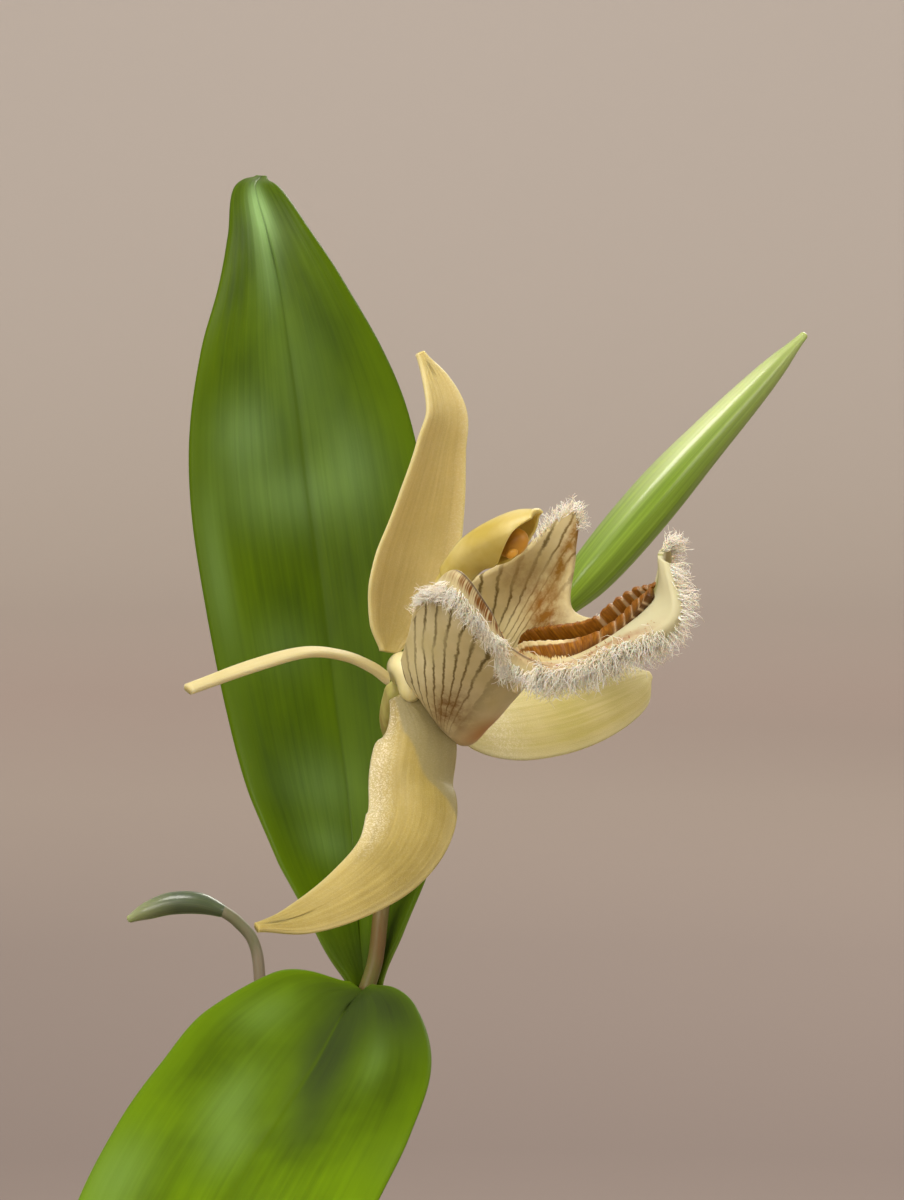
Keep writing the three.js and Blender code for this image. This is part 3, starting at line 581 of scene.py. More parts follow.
def papery_rings():
    """Old brown sheaths over a green stem: dry, dull and finely ribbed along their length."""
    finish, node = new_finish("papery rings", Roughness=0.75, IOR=1.45)
    along = node("Attribute", attribute_name="along").outputs["Fac"]
    rings = node("Math", {0: along, 1: float(RING_COUNT)}, operation="MULTIPLY")
    ring = node("Math", {0: rings}, operation="FRACT")
    place = node("TexCoord").outputs["Object"]
    blotches = node("TexNoise", {"Vector": place, "Scale": 500, "Detail": 4})
    mixed = node("Math", {0: ring, 1: blotches}, operation="ADD")
    colour = node("ValToRGB", {"Fac": mixed}, stops=[
        (0.25, "#5a5a2a"), (0.7, "#7d6a3c"), (1.0, "#a08a5e")])
    bumpy = node("Bump", {"Height": blotches, "Strength": 0.5, "Distance": 0.3 * MM})
    return wear(finish, colour, bumpy)


ring_place = np.linspace(0, RING_COUNT, 8 * RING_COUNT)
ring_radius = RHIZOME_RADIUS * (0.86 + 0.13 * (ring_place % 1))
ring_radius[:8] *= np.linspace(0.5, 1, 8)
rhizome_shape = tube(RHIZOME_PATH, ring_radius, 8 * RING_COUNT, 20, reference=(0, 0, 1))
piece("creeping_stem", rhizome_shape, papery_rings(), "rhizome", "rhizome")

# %% Roots
ROOT_RADIUS, ROOT_DEPTH = 0.9, 9
ROOTS = [(0.1, 250, 9), (0.24, 200, 12), (0.33, 40, 8), (0.44, 215, 14),
         (0.52, 80, 12), (0.62, 290, 11), (0.72, 150, 10), (0.83, 235, 12)]


def silver_root_skin():
    """The spongy skin of an air root: matt, silver-white, green where it is thin."""
    finish, node = new_finish("silver root skin", Roughness=0.85, IOR=1.4)
    along = node("Attribute", attribute_name="along").outputs["Fac"]
    place = node("TexCoord").outputs["Object"]
    mottle = node("TexNoise", {"Vector": place, "Scale": 900, "Detail": 4})
    skin = node("ValToRGB", {"Fac": mottle}, stops=[
        (0.3, "#8f9177"), (0.55, "#bdbaa2"), (0.8, "#d6d2c0")])
    worn = node("ValToRGB", {"Fac": along}, stops=[(0.3, 0), (0.9, 0.7)])
    dusty = node("MixRGB", {"Fac": worn, "Color1": skin, "Color2": "#7d6650"})
    pitted = node("Bump", {"Height": mottle, "Strength": 0.4, "Distance": 0.15 * MM})
    return wear(finish, dusty, pitted)


root_skin = silver_root_skin()
for number, (share, heading, run) in enumerate(ROOTS, 1):
    start = through(RHIZOME_PATH, share)
    away = np.array([math.cos(math.radians(heading)), math.sin(math.radians(heading)), 0])
    side = np.array([-away[1], away[0], 0])
    down = np.array([0, 0, -1])
    path = [start, start + 0.35 * run * away + 0.2 * down,
            start + 0.7 * run * away + 1.4 * down + 0.12 * run * side,
            start + 0.95 * run * away + 4 * down, start + run * away + ROOT_DEPTH * down]
    radius = [ROOT_RADIUS, ROOT_RADIUS * 0.94, ROOT_RADIUS, ROOT_RADIUS * 0.9, 0.7 * ROOT_RADIUS]
    root_shape = tube(path, radius, 60, 16, reference=side)
    piece(f"root_{number}_skin", root_shape, root_skin, "root", f"root_{number}")

# %% [markdown]
# ## The swollen stems and their dry scales
# Each growth stores water in a swollen stem, smooth and green, that shrinks into shallow ribs as it
# ages. A dry scale, once the sheath of the young shoot, still wraps its foot. It has torn along its
# fibres, so the edge of its sheet is cut by a run of seeded waves.

# %% Swollen stems
BULB_RADIUS = 5.2
GROWTHS = {
    "bloom": (LAST_BASE, (-1.5, 1.9, 124.6), BULB_RADIUS),
    "second": ((-8, 19.5, 86.6), (-11.4, 33.2, 99), 4.6),
    "left": ((-28.5, 0.5, 86.6), (-35, 3, 108), BULB_RADIUS),
    "right": ((26.5, -3.5, 86.6), (36, -2, 105), BULB_RADIUS),
    "old": ((16.5, -25, 86.6), (19, -31, 104), 4.8),
}
BULB_GIRTH = (0.5, 0.9, 1, 0.93, 0.75, 0.5, 0.4)
BULB_RIBS = (7, 0.05)


def bulb_path(base, apex):
    """Base, middle and apex: the stem bends up from where it starts."""
    base, apex = np.array(base, float), np.array(apex, float)
    sag = 0.12 * (apex - base) * (1, 1, 0)
    return [base, (base + apex) / 2 + sag, apex]


def green_stem_skin():
    """The skin of a swollen stem: waxy, green above and yellow-brown near its foot."""
    finish, node = new_finish(
        "green stem skin", Roughness=0.42, IOR=1.42, Subsurface_Weight=0.15, Subsurface_Scale=0.002,
        Subsurface_Radius=(0.8, 1.0, 0.2))
    along = node("Attribute", attribute_name="along").outputs["Fac"]
    around = node("Attribute", attribute_name="round").outputs["Fac"]
    place = node("TexCoord").outputs["Object"]
    green = node("ValToRGB", {"Fac": along}, stops=[
        (0.0, "#8d8440"), (0.2, "#87963f"), (0.6, "#6f8f2e"), (1.0, "#7f9a3a")])
    streaks = stretched(node, around, 60.0, along, 5.0)
    streaky = node("TexNoise", {"Vector": streaks, "Scale": 1, "Detail": 4})
    shade = node("ValToRGB", {"Fac": streaky}, stops=[(0.3, 0.72), (0.65, 1.0)])
    skin = node("MixRGB", {"Fac": 1.0, "Color1": green, "Color2": shade}, blend_type="MULTIPLY")
    wrinkled = node("Bump", {"Height": streaky, "Strength": 0.35, "Distance": 0.3 * MM})
    dimpled = node("Bump", {
        "Height": node("TexNoise", {"Vector": place, "Scale": 1500}), "Strength": 0.1,
        "Distance": 0.1 * MM, "Normal": wrinkled})
    return wear(finish, skin, dimpled)


stem_skin = green_stem_skin()
for name, (base, apex, radius) in GROWTHS.items():
    shape = tube(bulb_path(base, apex), [radius * g for g in BULB_GIRTH], 70, 63, ribs=BULB_RIBS)
    piece(f"swollen_stem_{name}", shape, stem_skin, "pseudobulb", f"pseudobulb_{name}")

# %% Dry scales
SCALE_REACH, SCALE_WRAP, SCALE_TURN, SCALE_CLEAR = 0.46, 150, 115, 0.9


def dry_sheath():
    """A dry sheath: thin straw-brown paper with dark fibres along it."""
    finish, node = new_finish(
        "dry sheath", Roughness=0.7, IOR=1.45, Subsurface_Weight=0.25, Subsurface_Scale=0.001)
    along = node("Attribute", attribute_name="along").outputs["Fac"]
    across = node("Attribute", attribute_name="across").outputs["Fac"]
    strands = stretched(node, across, 45.0, along, 2.0)
    fibres = node("TexNoise", {"Vector": strands, "Scale": 1, "Detail": 3, "Distortion": 0.4})
    colour = node("ValToRGB", {"Fac": fibres}, stops=[
        (0.28, "#6b4f30"), (0.45, "#a1824f"), (0.7, "#cbb184")])
    ribbed = node("Bump", {"Height": fibres, "Strength": 0.7, "Distance": 0.25 * MM})
    return wear(finish, colour, ribbed)


def scale_surface(base, apex, radius, seed):
    """The sheath wraps the foot of its stem and ends in a torn point."""
    path = bulb_path(base, apex)
    starts = np.random.default_rng(seed).uniform(0, 2 * np.pi, 5)

    def surface(u, v):
        waves = sum(np.sin(k * 7.3 * v + s) / (1 + 0.4 * k) for k, s in enumerate(starts, 1))
        torn = 1 + 0.09 * waves * u
        t = 0.1 + u * SCALE_REACH * (1 - 0.5 * np.abs(v)) * torn
        along = unit(through(path, t + STEP) - through(path, t - STEP))
        across = unit(np.cross(along, (0, 1, 0)))
        normal = np.cross(across, along)
        angle = np.radians(v * SCALE_WRAP + SCALE_TURN)
        r = graded(BULB_GIRTH, t) * radius * 1.05 + SCALE_CLEAR + 0.8 * u * u
        r = r + 0.12 * np.sin(16 * v + starts[0]) * u
        turn = across * np.cos(angle)[..., None] + normal * np.sin(angle)[..., None]
        return through(path, t) + turn * r[..., None]
    return surface


paper = dry_sheath()
for seed, (name, growth) in enumerate(GROWTHS.items()):
    shape = sheet(scale_surface(*growth, seed), 30, 84, lambda u, v: 0.32 - 0.2 * u)
    piece(f"dry_scale_{name}", shape, paper, "dry_scale", f"scale_{name}")

# %% [markdown]
# ## The leaves
# An orchid leaf of this kind is thin and leathery, folded along its midrib where it starts and nearly
# flat further out. Its waxy skin mirrors the light as broad pale bands, and dozens of veins run along
# it side by side. The blade is a sheet between its two edges. The midrib is pressed into it as a
# narrow groove, and the veins are a slight relief in the mesh with finer ones in the finish. The pale
# bands are painted sheen: bluish patches mixed into the colour. Darker patches are painted shade: the
# flower's shadow on the lower leaf and the shade at the foot of the others, and the older leaves are
# also darker at the tip. So each leaf has a list of each kind of patch.

# %% The shape of a blade
def blade(spine, facing, half, fold=(0,), cup=(0,), hem=(0,), crease=(1,)):
    """The middle surface of a leaf, sepal or petal, which looks the way that facing gives."""
    def surface(u, v):
        along = unit(through(spine, u + STEP) - through(spine, u - STEP))
        across = unit(np.cross(along, through(facing, u)))
        normal = np.cross(across, along)
        past = -v - graded(crease, u)
        past = (past + np.sqrt(past * past + 0.02)) / 2
        lift = graded(fold, u) * np.sqrt(v * v + 0.003) + graded(cup, u) * v * v - graded(hem, u) * past
        width = graded(half, u)[..., None]
        return through(spine, u) + across * v[..., None] * width + normal * lift[..., None] * width
    return surface


def veined(surface, groove, relief, veins, sway=0):
    """The same blade with its midrib pressed in, its veins raised and its sides gently waved."""
    def finer(u, v):
        along = surface(u + STEP, v) - surface(u - STEP, v)
        across = surface(u, np.clip(v + STEP, -1, 1)) - surface(u, np.clip(v - STEP, -1, 1))
        inwards = unit(np.cross(across, along))
        fade = step_up(0, 0.06, u) * step_up(0, 0.1, 1 - u)
        depth = -groove * bump(v, 0.035) * fade + relief * np.cos(2 * np.pi * veins * v) * fade
        depth = depth + sway * np.sin(2 * np.pi * (2.3 * u + 0.2 * np.sign(v))) * v * v * fade
        return surface(u, v) + inwards * depth[..., None]
    return finer


def leaf_thickness(thickest, u, v):
    """Full along the middle and thin at the edges and the tip."""
    over_width = 0.25 + 0.75 * np.sqrt(np.clip(1 - v**6, 0, 1))
    return thickest * over_width * (0.4 + 0.6 * step_up(0, 0.15, 1 - u))


# %% Waxy leaf skin
def waxy_leaf_skin(name, deep, bright, wax):
    """A living leaf: green below a clear waxy skin, veined along its length, duller on its back, with patches of
    painted sheen and painted shade.
    """
    finish, node = new_finish(
        name, Roughness=0.42, IOR=1.45, Subsurface_Weight=0.08, Subsurface_Scale=0.0012,
        Specular_IOR_Level=0.08, Subsurface_Radius=(0.5, 1.0, 0.15))
    mark = {part: node("Attribute", attribute_name=part).outputs["Fac"]
            for part in ("along", "across", "inner", "wax", "dull")}
    side = node("Math", {0: mark["across"]}, operation="ABSOLUTE")
    grain = stretched(node, mark["across"], 26.0, mark["along"], 3.0)
    streaks = node("TexNoise", {"Vector": grain, "Scale": 1, "Detail": 4, "Roughness": 0.55})
    broad = stretched(node, mark["across"], 1.6, mark["along"], 5.5)
    clouds = node("TexNoise", {"Vector": broad, "Scale": 1, "Detail": 3})
    blend = node("Math", {0: streaks, 1: 0.35, 2: clouds}, operation="MULTIPLY_ADD")
    green = node("ValToRGB", {"Fac": blend}, stops=[(0.5, deep), (0.85, bright)])
    edge = node("ValToRGB", {"Fac": side}, stops=[(0.75, 0), (1.0, 0.7)])
    edged = node("MixRGB", {"Fac": edge, "Color1": green, "Color2": bright})
    ragged = node("ValToRGB", {"Fac": streaks}, stops=[(0.2, 0.75), (0.7, 1)])
    # Painted sheen: pale bluish patches mixed into the colour, where the waxy skin would mirror the light.
    painted_sheen_here = node("Math", {0: mark["wax"], 1: ragged}, operation="MULTIPLY", use_clamp=True)
    sheen_painted = node("MixRGB", {"Fac": painted_sheen_here, "Color1": edged, "Color2": wax})
    # Painted shade: dark olive patches mixed into the colour, such as the flower's shadow on the lower leaf.
    painted_shade_here = node("Math", {0: mark["dull"], 1: ragged}, operation="MULTIPLY", use_clamp=True)
    shade_painted = node("MixRGB", {"Fac": painted_shade_here, "Color1": sheen_painted, "Color2": "#2f3a1c"})
    midrib = node("ValToRGB", {"Fac": side}, stops=[(0.0, 0.55), (0.05, 0)])
    ribbed = node("MixRGB", {"Fac": midrib, "Color1": shade_painted, "Color2": deep})
    backed = node("MixRGB", {"Fac": mark["inner"], "Color1": "#6a7f33", "Color2": ribbed})
    relief = node("Bump", {"Height": streaks, "Strength": 0.1, "Distance": 0.12 * MM})
    return wear(finish, backed, relief)


# The last colour of each skin is the colour of its painted sheen.
upright_skin = waxy_leaf_skin("waxy leaf skin", "#344700", "#4a6000", "#80a062")
lower_skin = waxy_leaf_skin("waxy leaf skin in full light", "#465c00", "#5f7c00", "#6c8a3c")

# %% The two leaves of the growth in bloom
LEAF_THICKNESS = 0.7
LEAF_MESH, OLDER_LEAF_MESH = (160, 56), (90, 48)
UPRIGHT_LEAF = {
    "spine": [
        (-1.4, 3.2, 125.1), (-1.8, 5.0, 128.2), (-2.3, 8.4, 132.9), (-2.9, 12.1, 138.4),
        (-4.0, 15.7, 145.8), (-5.1, 18.4, 153.5), (-6.3, 20.1, 161.3), (-7.1, 21.6, 167.6),
        (-7.9, 23.1, 173.1), (-8.7, 25.1, 177.9), (-9.8, 27.6, 182.4), (-10.9, 31.0, 186.0), (-10.6, 34.0, 187.2)],
    "facing": [(0.1, -1, 0.4), (0.05, -1, 0.2), (0.1, -1, 0.3), (0, -0.7, 1)],
    "half": (1.2, 3.3, 5.9, 7.6, 8.6, 9.2, 9.3, 8.7, 7.2, 5.2, 3.3, 1.9, 0.5),
    "fold": (0.75, 0.35, 0.18, 0.12, 0.12, 0.12),
    "cup": (0.2, -0.02, -0.06, -0.04),
}
LOWER_LEAF = {
    "spine": [
        (-1.5, 0.6, 125.3), (-2.9, -2.4, 124.2), (-4.7, -7.6, 121.8), (-6.9, -13.7, 119.3), (-9, -19.9, 117),
        (-11.3, -26.5, 113.6), (-13.2, -33.2, 109.0), (-15.3, -39.6, 103.2), (-17.6, -45.3, 96.4),
        (-19.8, -50, 89)],
    "facing": [(0.2, 0.4, 1), (0.1, -0.35, 0.94), (0.08, -0.4, 0.9), (0.1, -0.6, 0.8), (0.2, -0.8, 0.6)],
    "half": (1.2, 5.6, 8.7, 9.5, 9.7, 9.5, 8.8, 7.2, 4.6, 0.5),
    "fold": (0.7, 0.32, 0.2, 0.15, 0.12, 0.1, 0.1, 0.1),
    "cup": (0.1, 0, -0.08, -0.1),
}


# Patches of painted sheen and darker patches on each leaf: along, across, reach along, reach across and strength.
# The darker patches are painted shade: the flower's shadow on the lower leaf and shade at the foot of the others.
# The older leaves are also darker at the tip.
UPRIGHT_SHEEN_PATCHES = [
    (0.87, -0.05, 0.055, 0.3, 1.3), (0.78, -0.15, 0.06, 0.2, 0.4), (0.64, 0.05, 0.08, 0.4, 0.15),
    (0.57, -0.5, 0.045, 0.28, 0.38), (0.505, -0.15, 0.03, 0.5, 0.3), (0.53, 0.4, 0.05, 0.3, 0.25),
    (0.45, -0.85, 0.06, 0.1, 0.25), (0.38, -0.4, 0.025, 0.3, 0.12), (0.26, -0.25, 0.03, 0.4, 0.22),
    (0.2, -0.3, 0.025, 0.3, 0.22)]
UPRIGHT_SHADE_PATCHES = [(0.05, 0, 0.05, 1.5, 0.5)]
LOWER_SHEEN_PATCHES = [
    (0.35, 0.38, 0.07, 0.16, 0.7), (0.42, 0.2, 0.05, 0.14, 0.6), (0.18, 0.62, 0.05, 0.2, 0.55),
    (0.21, -0.52, 0.05, 0.1, 0.6), (0.52, 0.8, 0.06, 0.2, 0.7), (0.62, -0.3, 0.08, 0.3, 0.5)]
# The painted shadow of the flower, over the foot of the lower leaf.
LOWER_SHADOW_PATCHES = [(0.05, -0.2, 0.1, 0.9, 0.9), (0.14, -0.75, 0.07, 0.35, 0.6), (0.19, -0.05, 0.08, 0.34, 0.75),
              (0.28, -0.14, 0.07, 0.22, 0.65), (0.36, -0.24, 0.05, 0.16, 0.45)]
OLDER_SHEEN_PATCHES = [(0.45, -0.35, 0.12, 0.3, 0.6), (0.6, 0.3, 0.1, 0.3, 0.5), (0.25, 0.3, 0.07, 0.25, 0.4)]
OLDER_DARK_PATCHES = [(0.05, 0, 0.08, 1.5, 0.4), (0.95, 0, 0.04, 1.5, 0.3)]


def spread(patches, marks):
    """How strongly a list of patches covers each point: place, reach and strength of each patch."""
    return sum(share * bump(marks["along"] - u, reach_u) * bump(marks["across"] - v, reach_v)
               for u, v, reach_u, reach_v, share in patches)


def leaf_shape(outline, wax, dull, mesh_size):
    """The mesh of a leaf from its outline, with its patches of painted sheen and its darker patches, mostly
    painted shade.
    """
    surface = veined(blade(**outline), groove=0.12, relief=0.008, veins=7, sway=0.2)
    shape = sheet(surface, *mesh_size, lambda u, v: leaf_thickness(LEAF_THICKNESS, u, v))
    shape[2].update(wax=spread(wax, shape[2]), dull=spread(dull, shape[2]))
    return shape


upright_shape = leaf_shape(UPRIGHT_LEAF, UPRIGHT_SHEEN_PATCHES, UPRIGHT_SHADE_PATCHES, LEAF_MESH)
lower_shape = leaf_shape(LOWER_LEAF, LOWER_SHEEN_PATCHES, LOWER_SHADOW_PATCHES, LEAF_MESH)
piece("upright_leaf", upright_shape, upright_skin, "leaf", "leaf_upright")
piece("lower_leaf", lower_shape, lower_skin, "leaf", "leaf_lower")

# %% The leaves of the older growths
LEAF_HALF = (1, 4.2, 7.4, 9, 9.2, 8.3, 6.2, 3.4, 0.5)
SEAT_OUT, SEAT_LIFT = 2, 0.7
ARCHED_LEAVES = {
    "second_back": ("second", 92, 52, 34, -62, 0.95),
    "second_side": ("second", 196, 46, -6, -42, 0.85),
    "left_high": ("left", 158, 62, 72, 2, 1),
    "left_low": ("left", 250, 56, 44, -44, 0.9),
    "right_high": ("right", 8, 60, 44, 6, 1),
    "right_low": ("right", -88, 54, 12, -46, 0.9),
}


def leaf_seat(growth, heading):
    """Where a leaf leaves the top of its swollen stem, beside the middle."""
    base, apex, _ = GROWTHS[growth]
    path = bulb_path(base, apex)
    axis = unit(through(path, 1.0) - through(path, 1 - STEP))
    side = np.array([math.cos(heading), math.sin(heading), 0])
    side = unit(side - axis * (side @ axis))
    return np.array(apex) + SEAT_LIFT * axis + SEAT_OUT * side


def arched_outline(growth, heading, length, rise, fall, width):
    """A leaf that leaves at the angle rise, towards heading, and bends over evenly to fall."""
    steps = len(LEAF_HALF) - 1
    heading = math.radians(heading)
    out, up = np.array([math.cos(heading), math.sin(heading), 0]), np.array([0, 0, 1])
    spine, facing = [leaf_seat(growth, heading)], []
    for i in range(steps + 1):
        angle = math.radians(rise + (fall - rise) * i / steps)
        facing.append(up * math.cos(angle) - out * math.sin(angle))
        spine.append(spine[-1] + (out * math.cos(angle) + up * math.sin(angle)) * length / steps)
    return {"spine": spine[:-1], "facing": facing, "half": [h * width for h in LEAF_HALF],
            "fold": (0.75, 0.3, 0.16, 0.12, 0.12), "cup": (0.1, -0.05, -0.05)}


for name, bend in ARCHED_LEAVES.items():
    skin = upright_skin if "low" in name or "side" in name else lower_skin
    arched_shape = leaf_shape(arched_outline(*bend), OLDER_SHEEN_PATCHES, OLDER_DARK_PATCHES, OLDER_LEAF_MESH)
    piece(f"arched_leaf_{name}", arched_shape, skin, "leaf", f"leaf_{name}")

# %% [markdown]
# ## Stalks, ovary and buds
# The flower stalk is a thin green wire flushed with brown. The next flower still waits in a rolled
# green bract on its tip, a smooth spindle with fine lines along it and a pale stripe of painted sheen
# on the side that faces up towards the light.

# %% Stalk and bract finishes
def stalk_skin(name, green, brown):
    """A thin stalk: smooth, olive green with a flush of brown along it."""
    finish, node = new_finish(
        name, Roughness=0.45, IOR=1.42, Subsurface_Weight=0.1, Subsurface_Scale=0.001)
    place = node("TexCoord").outputs["Object"]
    along_z = node("VectorMath", {0: place, 1: (900, 900, 120)}, operation="MULTIPLY")
    flush = node("TexNoise", {"Vector": along_z, "Scale": 1, "Detail": 3})
    colour = node("ValToRGB", {"Fac": flush}, stops=[(0.36, green), (0.62, brown)])
    ribbed = node("Bump", {"Height": flush, "Strength": 0.3, "Distance": 0.1 * MM})
    return wear(finish, colour, ribbed)


def bract_skin(name, deep, bright):
    """A rolled green bract: smooth and softly glossy, finely lined from end to end, with a stripe of painted sheen
    on one side.
    """
    finish, node = new_finish(
        name, Roughness=0.3, IOR=1.45, Subsurface_Weight=0.3, Subsurface_Scale=0.002,
        Coat_Weight=0.2, Subsurface_Radius=(0.7, 1.0, 0.25))
    along = node("Attribute", attribute_name="along").outputs["Fac"]
    around = node("Attribute", attribute_name="round").outputs["Fac"]
    lines = stretched(node, around, 48.0, along, 2.0)
    lined = node("TexNoise", {"Vector": lines, "Scale": 1, "Detail": 2})
    green = node("ValToRGB", {"Fac": lined}, stops=[(0.3, deep), (0.7, bright)])
    paler = node("ValToRGB", {"Fac": along}, stops=[(0.45, 0), (1.0, 0.55)])
    skin = node("MixRGB", {"Fac": paler, "Color1": green, "Color2": "#b9bd86"})
    # Painted sheen: a pale stripe mixed into the colour on the side of the bract that faces the light.
    bloom = node("Attribute", attribute_name="bloom").outputs["Fac"]
    sheen_painted_bract = node("MixRGB", {"Fac": bloom, "Color1": skin, "Color2": "#dae0aa"})
    relief = node("Bump", {"Height": lined, "Strength": 0.15, "Distance": 0.1 * MM})
    return wear(finish, sheen_painted_bract, relief)


# %% Stalks and buds
STALK_PATH = [
    (-1.4, 1.9, 125.1), (-0.6, 2.1, 127.7), (-0.2, 2.4, 131.1), (0.2, 3.2, 134.4), (1.1, 4.0, 138.0),
    (2.4, 5.3, 141.3), (4.6, 5.6, 145.1), (8.0, 5.0, 149.0), (12.0, 4.4, 152.8)]
NEXT_BRACT_PATH = [
    (12.4, 4.3, 153), (16.5, 5.2, 157.6), (22.7, 7.3, 164.6), (28.9, 10.4, 171), (32.4, 12.3, 174.6)]
SHEEN_SIDE = np.array((-0.62, -0.5, 0.6))
SECOND_STALK_PATH = [
    (-10.9, 32.4, 100.6), (-10.8, 31.8, 106), (-10.8, 31.5, 113), (-10.9, 31.6, 120.3),
    (-11.4, 31.9, 123.5), (-12.8, 32, 125.3), (-14.2, 32.1, 126.3)]
SECOND_BUD_PATH = [
    (-13.6, 32.1, 126.0), (-15.9, 32.1, 126.8), (-18.3, 32.1, 126.8), (-20.3, 32, 126.2), (-22, 32, 125.4)]
OVARY_PATH = [(2.2, 4.3, 142.2), (1.4, 1.6, 143.3), (0.8, -3, 146.2), (1.4, -6.3, 149.6)]

brown_stalk = stalk_skin("brown flushed stalk", "#62602e", "#68512c")
dull_stalk = stalk_skin("dull green stalk", "#6d6c4f", "#7f7460")
stalk_shape = tube(STALK_PATH, (0.6, 0.6, 0.6, 0.7), 90, 20)
older_stalk_shape = tube(SECOND_STALK_PATH, (0.6, 0.5, 0.5), 90, 18)
piece("bloom_stalk", stalk_shape, brown_stalk, "stalk", "flower_stalk")
piece("older_stalk", older_stalk_shape, dull_stalk, "stalk", "second_stalk")
ovary_shape = tube(OVARY_PATH, (0.5, 0.55, 0.7, 0.95, 0.95), 70, 30, ribs=(6, 0.06))
piece("ribbed_ovary", ovary_shape, stalk_skin("pale ovary skin", "#b7b163", "#a6934f"), "stalk", "ovary")
green_bract = bract_skin("green bract skin", "#637f18", "#84a030")
bract_shape = tube(NEXT_BRACT_PATH, (0.7, 1.7, 1.95, 1.5, 0.9, 0.3), 140, 48, ribs=(11, 0.012))
bract_along = bract_shape[2]["along"]
outward = unit(bract_shape[0] - through(NEXT_BRACT_PATH, bract_along))
# A stripe of painted sheen down the middle of the bract, on the side that faces up, left and forward.
bract_shape[2]["bloom"] = 0.55 * step_up(0.6, 0.97, outward @ SHEEN_SIDE) * bump(bract_along - 0.62, 0.24)
piece("rolled_bract", bract_shape, green_bract, "bract", "next_bract")
bud_shape = tube(SECOND_BUD_PATH, (0.5, 0.9, 0.95, 0.75, 0.3), 80, 32)
piece("older_bud", bud_shape, bract_skin("dull bract skin", "#46523a", "#5a6348"), "bract", "second_bud")

# %% [markdown]
# ## Sepals and petals
# The three sepals are thin, straw yellow and let light through. Their skin is made of tiny domed cells,
# which glitter where the light grazes them; here the glints are painted, as pale specks in the colour
# on the lit parts. The hollows of the sepals carry painted shade, and the near sepal has a darker finish
# of its own as painted shade. The two petals are narrow ribbons. Each is the same blade as a leaf, with
# thinner edges and a finish that scatters light below its surface.

# %% Frosted petal skin
def frosted_petal(name, deep, bright, pale):
    """A living petal: light passes through it, faint veins run along it, and its cells glitter with painted
    glints; its hollows take painted shade.
    """
    finish, node = new_finish(
        name, Roughness=0.5, IOR=1.4, Subsurface_Weight=0.5, Subsurface_Scale=0.0009,
        Specular_IOR_Level=0.35, Subsurface_Radius=(1.0, 0.9, 0.6))
    along = node("Attribute", attribute_name="along").outputs["Fac"]
    across = node("Attribute", attribute_name="across").outputs["Fac"]
    place = node("TexCoord").outputs["Object"]
    side = node("Math", {0: across}, operation="ABSOLUTE")
    grain = stretched(node, across, 11.0, along, 2.5)
    veins = node("TexNoise", {"Vector": grain, "Scale": 1, "Detail": 4, "Roughness": 0.6})
    clouds = node("TexNoise", {"Vector": place, "Scale": 190, "Detail": 3})
    half_clouds = node("Math", {0: clouds, 1: 0.5}, operation="MULTIPLY")
    blend = node("Math", {0: veins, 1: 0.5, 2: half_clouds}, operation="MULTIPLY_ADD")
    tone = node("ValToRGB", {"Fac": blend}, stops=[(0.38, deep), (0.62, bright)])
    edge = node("ValToRGB", {"Fac": side}, stops=[(0.7, 0), (1.0, 0.6)])
    edged = node("MixRGB", {"Fac": edge, "Color1": tone, "Color2": pale})
    # Painted shade: grey-olive mixed into the colour where a sepal cups away from the light.
    painted_hollow_shade = node("Attribute", attribute_name="hollow").outputs["Fac"]
    shaded = node("MixRGB", {"Fac": painted_hollow_shade, "Color1": edged, "Color2": "#857c55"})
    # Painted glints: pale specks mixed into the colour over the cells, where the light would catch them.
    cells = node("TexVoronoi", {"Vector": place, "Scale": 13000})
    spark = node("SeparateColor", {"Color": cells.outputs["Color"]})
    bright_cells = node("ValToRGB", {"Fac": spark}, stops=[(0.5, 0.25), (0.95, 1)])
    painted_glint_here = node("Attribute", attribute_name="frost").outputs["Fac"]
    frost = node("Math", {0: painted_glint_here, 1: bright_cells}, operation="MULTIPLY", use_clamp=True)
    frosted = node("MixRGB", {"Fac": frost, "Color1": shaded, "Color2": "#efe6cc"})
    lines = node("Bump", {"Height": veins, "Strength": 0.12, "Distance": 0.12 * MM})
    domes = node("Bump", {
        "Height": cells.outputs["Distance"], "Strength": 0.3, "Distance": 0.04 * MM, "Normal": lines})
    return wear(finish, frosted, domes)


sepal_skin = frosted_petal("frosted sepal skin", "#b8a663", "#c9b777", "#d8cb96")
# The near sepal's finish is a darker copy of the sepal finish, as painted shade.
shaded_near_sepal_skin = frosted_petal("shaded deep yellow sepal skin", "#95833f", "#ad9a55", "#c8b980")
far_sepal_skin = frosted_petal("greener sepal skin", "#b8ac64", "#cec088", "#dcd4a6")
petal_skin = frosted_petal("frosted petal skin", "#c2b47e", "#cdbf8c", "#ddd2aa")

